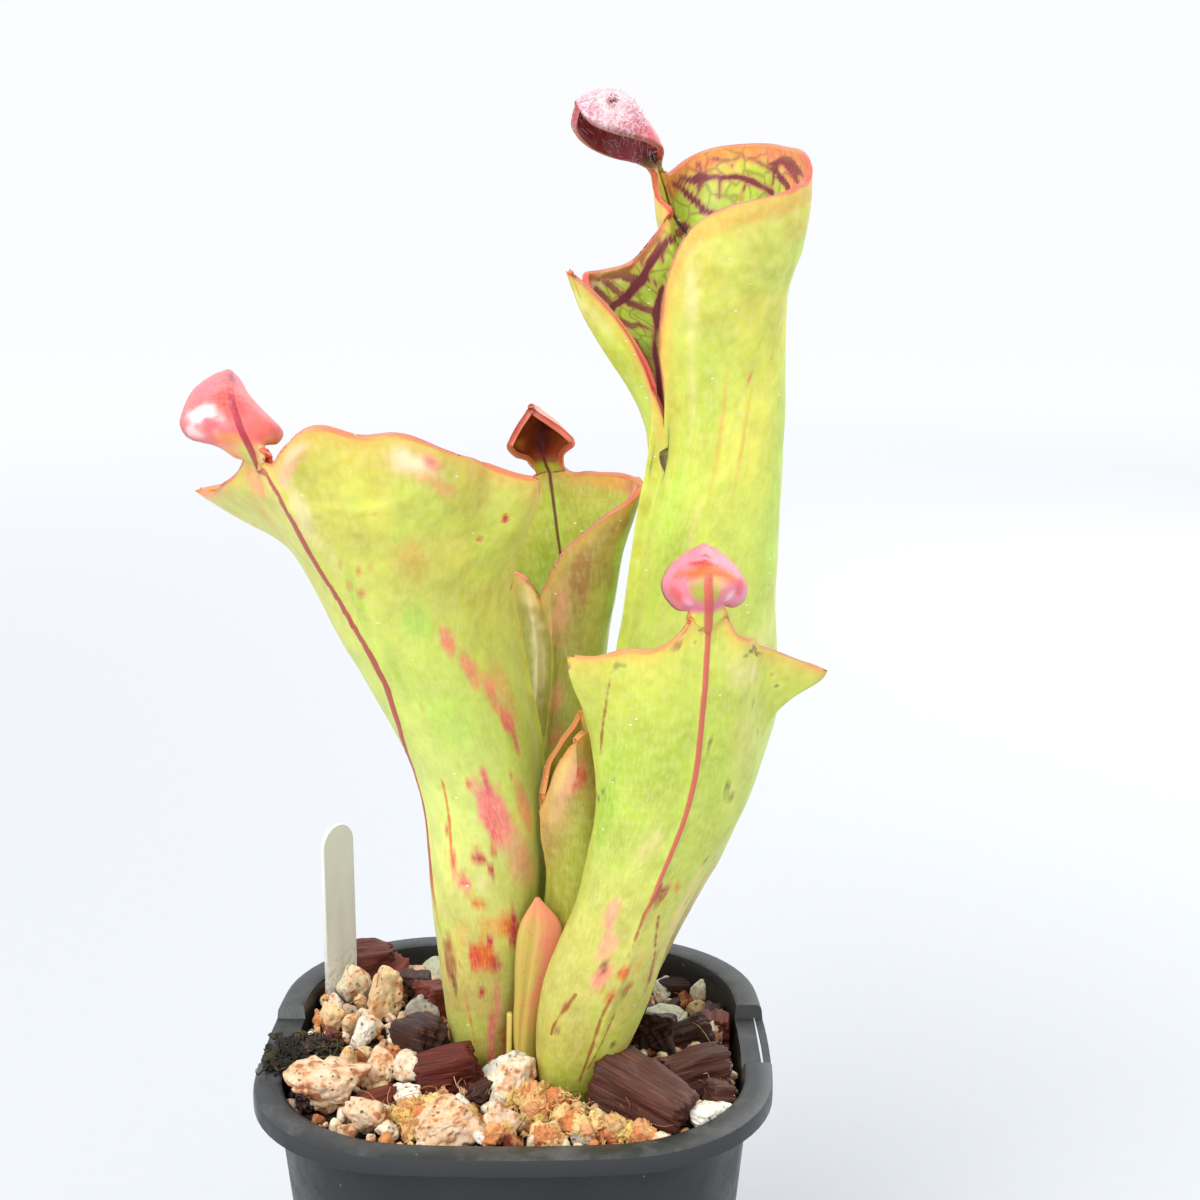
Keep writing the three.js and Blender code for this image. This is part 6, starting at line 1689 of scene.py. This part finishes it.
def make_threads(material):
    """Loose husk fibres lying over the mix."""
    rng = np.random.default_rng(31)
    build = Build()
    for cx, cy, reach, count in THREAD_PLACES:
        for _ in range(count):
            x, y = cx + rng.normal() * reach * 0.45, cy + rng.normal() * reach * 0.45
            if max(abs(x), abs(y)) > 36 or math.hypot(x, y) > 44 or not clear_of_stems(x, y, 0.5):
                continue
            a = rng.uniform(0, 2 * np.pi)
            start = (x, y, float(soil_level(x, y)) + rng.uniform(0.2, 2.4))
            path = thread(rng, start, (math.cos(a), math.sin(a), rng.uniform(-0.1, 0.4)),
                          rng.uniform(2.5, 7), 0.35, 0.06)
            path[:, :2] = np.clip(path[:, :2], -38.3, 38.3)
            points, faces = tube(path, np.linspace(0.09, 0.05, len(path)), 3)
            colour = picked(rng, THREAD_TINTS, 0.15)
            build.add(points, faces, tint=colour, along=points[:, 0], over=points[:, 2])
    return build.make("husk_threads", material, **MIX)


# Small pieces.
YOUNG_STRAW, YOUNG_CORAL = (200, 178, 84), (226, 136, 108)
YOUNG_TIP, YOUNG_FOOT = (240, 150, 112), (150, 120, 50)
BRACT_PLACE, BRACT_HALF_WIDTH, BRACT_LENGTH = (-1.1, -10.8), 1.9, 15.0


def make_young_leaf(material):
    """A leaf still folded shut: ovals along a leaning line, with a crease up the front."""
    keys = even(range(7))
    t = np.linspace(0, 1, 60)
    stations = ([2.3, 2, 1.8, 2.6, 3.7, 4.6, 4.1], [-10, -10.4, -10.8, -11, -11, -10.6, -10.2],
                [79, 84, 90, 97, 104, 110, 115])
    middle = np.stack([curve(keys, values, t) for values in stations], -1)
    wide = curve(keys, [1.9, 2, 2.2, 2.6, 3.5, 3.6, 0.35], t)
    deep = curve(keys, [1.9, 1.9, 1.8, 1.6, 1.4, 1.1, 0.35], t)
    phi = np.linspace(0, 2 * np.pi, 48, endpoint=False)
    crease_at, crease_reach = 1.5 * np.pi - 0.35, 0.22
    crease = np.exp(-(((phi - crease_at) / crease_reach) ** 2))
    loops = []
    for centre, half, depth, share in zip(middle, wide, deep, t):
        pinch = 1 - 0.34 * crease * smooth((share - 0.15) / 0.3)
        x = centre[0] + half * np.cos(phi) * pinch
        y = centre[1] + depth * np.sin(phi) * (1 - 0.25 * np.cos(phi)) * pinch
        loops.append(np.stack([x, y, np.full(len(phi), centre[2])], -1))
    vertices, faces = loft(loops)
    ups = np.concatenate([np.repeat(t, len(phi)), [0, 1]])
    right = np.concatenate([np.tile(np.cos(phi), len(t)), [0, 0]]) + 0.25 * noise(vertices, 2.5, 61)
    tint = np.array(YOUNG_STRAW, float)
    for colour, amount in ((YOUNG_CORAL, smooth((right + 0.25) / 0.7) * smooth((ups - 0.3) / 0.3)),
                           (YOUNG_TIP, smooth((ups - 0.78) / 0.2)), (YOUNG_FOOT, 1 - smooth(ups / 0.2))):
        tint = tint + (np.array(colour) - tint) * amount[:, None]
    build = Build()
    around = np.concatenate([np.tile(np.sin(phi / 2), len(t)), [0, 0]])
    build.add(vertices, faces, up=ups, around=around, tint=linear(tint))
    return build.make("young_leaf_fold", material, replaced=("young_leaf",), slot="young_leaf")


def make_bract(material):
    """A pointed scale, curved in section, that narrows upward."""
    outline = np.array([(-1, 1), (-0.65, 1.4), (-0.3, 1.6), (0, 1.65), (0.3, 1.6), (0.65, 1.4), (1, 1),
                        (1.02, 0), (1, -1), (0.65, -0.6), (0.3, -0.4), (0, -0.35), (-0.3, -0.4),
                        (-0.65, -0.6), (-1, -1), (-1.02, 0)])
    steps = np.linspace(0, 1, 36)
    loops = []
    for t in steps:
        half = BRACT_HALF_WIDTH * math.sqrt(1 - 0.92 * t**2)
        x = BRACT_PLACE[0] + 0.4 * t - outline[:, 1] * 0.4
        y = BRACT_PLACE[1] - outline[:, 0] * half * (1 + 0.02 * math.sin(9 * t))
        loops.append(np.stack([x, y, np.full(len(x), LEAF_BASE_Z + BRACT_LENGTH * t)], -1))
    vertices, faces = loft(loops)
    build = Build()
    build.add(vertices, faces, up=np.concatenate([np.repeat(steps, len(outline)), [0, 1]]),
              around=np.concatenate([np.tile(outline[:, 0], len(steps)), [0, 0]]))
    return build.make("bract_scale", material, replaced=("bract",), slot="bract")


def make_label(material):
    """A flat stake with a round top and a pointed foot."""
    round_z = LABEL_TOP_Z - LABEL_HALF_WIDTH
    shoulder_z = LABEL_FOOT_Z + LABEL_POINT_LENGTH
    outline = [(-0.4, LABEL_FOOT_Z), (0.4, LABEL_FOOT_Z), (LABEL_HALF_WIDTH, shoulder_z)]
    for t in np.linspace(0, np.pi, 25):
        outline.append((LABEL_HALF_WIDTH * math.cos(t), round_z + LABEL_HALF_WIDTH * math.sin(t)))
    outline.append((-LABEL_HALF_WIDTH, shoulder_z))
    flat = np.array(outline)
    middle = flat.mean(0)
    c, s = math.cos(math.radians(LABEL_TURN)), math.sin(math.radians(LABEL_TURN))
    loops = []
    for depth, inset in ((-LABEL_THICKNESS / 2, LABEL_BEVEL), (-LABEL_THICKNESS / 2 + LABEL_BEVEL, 0),
                         (LABEL_THICKNESS / 2 - LABEL_BEVEL, 0), (LABEL_THICKNESS / 2, LABEL_BEVEL)):
        shrunk = middle + (flat - middle) * (1 - inset / np.array([LABEL_HALF_WIDTH, 24.0]))
        x, y = shrunk[:, 0] * c + depth * s, shrunk[:, 0] * s - depth * c
        loops.append(np.stack([LABEL_PLACE[0] + x, LABEL_PLACE[1] + y, shrunk[:, 1]], -1))
    build = Build()
    build.add(*loft(loops))
    label = build.make("label_stake", material, replaced=("plant_label",), slot="label_plastic")
    label.data.set_sharp_from_angle(angle=math.radians(35))
    return label


def make_hairs(name, material, leaf, count, seed, length, outside):
    """Fine pale hairs on a neck and hood, outside or inside."""
    rng = np.random.default_rng(seed)
    half = math.radians(leaf["neck"]["half_angle"])
    build = Build()
    for _ in range(count):
        x, q = rng.uniform(-0.92, 0.92), rng.uniform(0.42 if outside else 0.06, 0.97)
        grid_x = np.array([x, x + 0.03, x])
        grid_q = np.array([q, q, q + 0.02])
        phi = np.pi - grid_x * half
        foot = wall(leaf, np.where(phi > np.pi, phi - 2 * np.pi, phi), np.ones(3))
        p = tab_surface(leaf, grid_x, grid_q, foot)
        normal = unit(np.cross(p[1] - p[0], p[2] - p[0]))
        up = unit(p[2] - p[0])
        start, heading = p[0], normal + 0.4 * up
        if not outside:
            start, heading = p[0] - normal * (RIM_WALL - 0.05), -normal - 0.8 * up
        path = thread(rng, start, heading, length * rng.uniform(0.5, 1.2), 0.2, 0.05, 3)
        points, faces = tube(path, np.linspace(0.05, 0.02, len(path)), 3)
        build.add(points, faces)
    return build.make(name, material, slot="pitcher_leaf")


def hair_look():
    look = Look("hair_skin", Roughness=0.4)
    look.shade = look.mix(look.noise(900), tone(250, 244, 242), tone(232, 214, 214))
    return look.finish()


# Assembly.
for leaf_name, leaf in LEAVES.items():
    skin = SKINS[leaf_name]
    make_pitcher(leaf_name, leaf, skin, leaf_look(leaf_name, skin))
make_pot(pot_look())
make_bed(soil_look("bed_skin", (26, 16, 12), (84, 50, 34)))
pumice_look = tinted_look("pumice_skin", roughness=0.85, grain=1300, grain_depth=0.0003, pits=0.00035,
                          stain=0.75)
make_pumice(pumice_look)
make_grit(pumice_look)
husk_look = fibre_look("husk_skin", roughness=0.6)
make_husks(husk_look)
make_threads(husk_look)
moss_look = tinted_look("moss_skin", roughness=0.8, grain=1500, grain_depth=0.0003, stain=0.6,
                        Subsurface_Weight=0.15, Subsurface_Scale=0.001)
make_moss(moss_look)
make_debris(tinted_look("debris_skin", roughness=0.8, grain=1200, grain_depth=0.0003))
make_young_leaf(tissue_look("young_leaf_skin", None, (228, 150, 104), 0.25))
bract_stops = [(0, (170, 140, 60)), (0.5, (206, 190, 96)), (1, (214, 190, 100))]
make_bract(tissue_look("bract_skin", bract_stops, (190, 150, 80), 0.2))
make_label(label_look())
hairs = hair_look()
make_hairs("hood_hairs", hairs, LEAVES["pitcher_tall"], 620, 41, 0.7, True)
make_hairs("neck_hairs", hairs, LEAVES["pitcher_tall"], 260, 42, 1.6, False)
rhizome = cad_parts["rhizome"]
rhizome.data.materials.clear()
rhizome.data.materials.append(soil_look("rhizome_skin", (44, 28, 20), (92, 62, 40)))


# Stage: a pale floor, the camera and soft lights.
def make_stage():
    """A round floor, 0.2 mm under the pot."""
    sides, drop = 64, 0.2
    a = np.linspace(0, 2 * np.pi, sides, endpoint=False)
    loops = [np.stack([r * np.cos(a), r * np.sin(a), 0 * a - drop], -1) for r in (20, 300, 1000, 4000)]
    vertices = np.concatenate(loops + [[[0, 0, -drop]]])
    faces = grid_faces(len(loops), sides, closed=True)
    faces += [(len(vertices) - 1, j, (j + 1) % sides) for j in range(sides)]
    mesh = bpy.data.meshes.new("floor")
    mesh.from_pydata((vertices * MM).tolist(), [], faces)
    mesh.materials.append(floor_look())
    made = bpy.data.objects.new("floor", mesh)
    bpy.context.scene.collection.objects.link(made)
    made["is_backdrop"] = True


def add_light(name, place, size, power, aim=(0, 0, 0.15)):
    """A round soft light, in metres and watts."""
    data = bpy.data.lights.new(name, "AREA")
    data.shape = "DISK"
    data.size = size
    data.energy = power
    made = bpy.data.objects.new(name, data)
    made.location = place
    made.rotation_euler = (Vector(aim) - Vector(place)).to_track_quat("-Z", "Y").to_euler()
    bpy.context.scene.collection.objects.link(made)


def make_world():
    """An even, slightly cool sky."""
    world = bpy.data.worlds.new("studio")
    bpy.context.scene.world = world
    world.use_nodes = True
    background = world.node_tree.nodes["Background"]
    background.inputs["Color"].default_value = (0.965, 0.98, 1.0, 1)
    background.inputs["Strength"].default_value = 1.0


def make_camera():
    data = bpy.data.cameras.new("camera")
    data.lens = CAMERA_LENS
    data.sensor_width = CAMERA_SENSOR
    data.clip_start = 0.01
    camera = bpy.data.objects.new("camera", data)
    camera.location = [c * MM for c in CAMERA_PLACE]
    camera.rotation_euler = (math.radians(90 - CAMERA_PITCH), 0, 0)
    bpy.context.scene.collection.objects.link(camera)
    bpy.context.scene.camera = camera


make_stage()
add_light("key", (-0.35, -0.6, 0.8), 0.6, 6.0)
add_light("back", (0.5, 0.6, 0.6), 0.7, 3.0)
make_world()
make_camera()
bpy.context.scene.view_settings.view_transform = "Standard"

{"cad": [list(p) for p in cad_box], "visual": [list(p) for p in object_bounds()]}
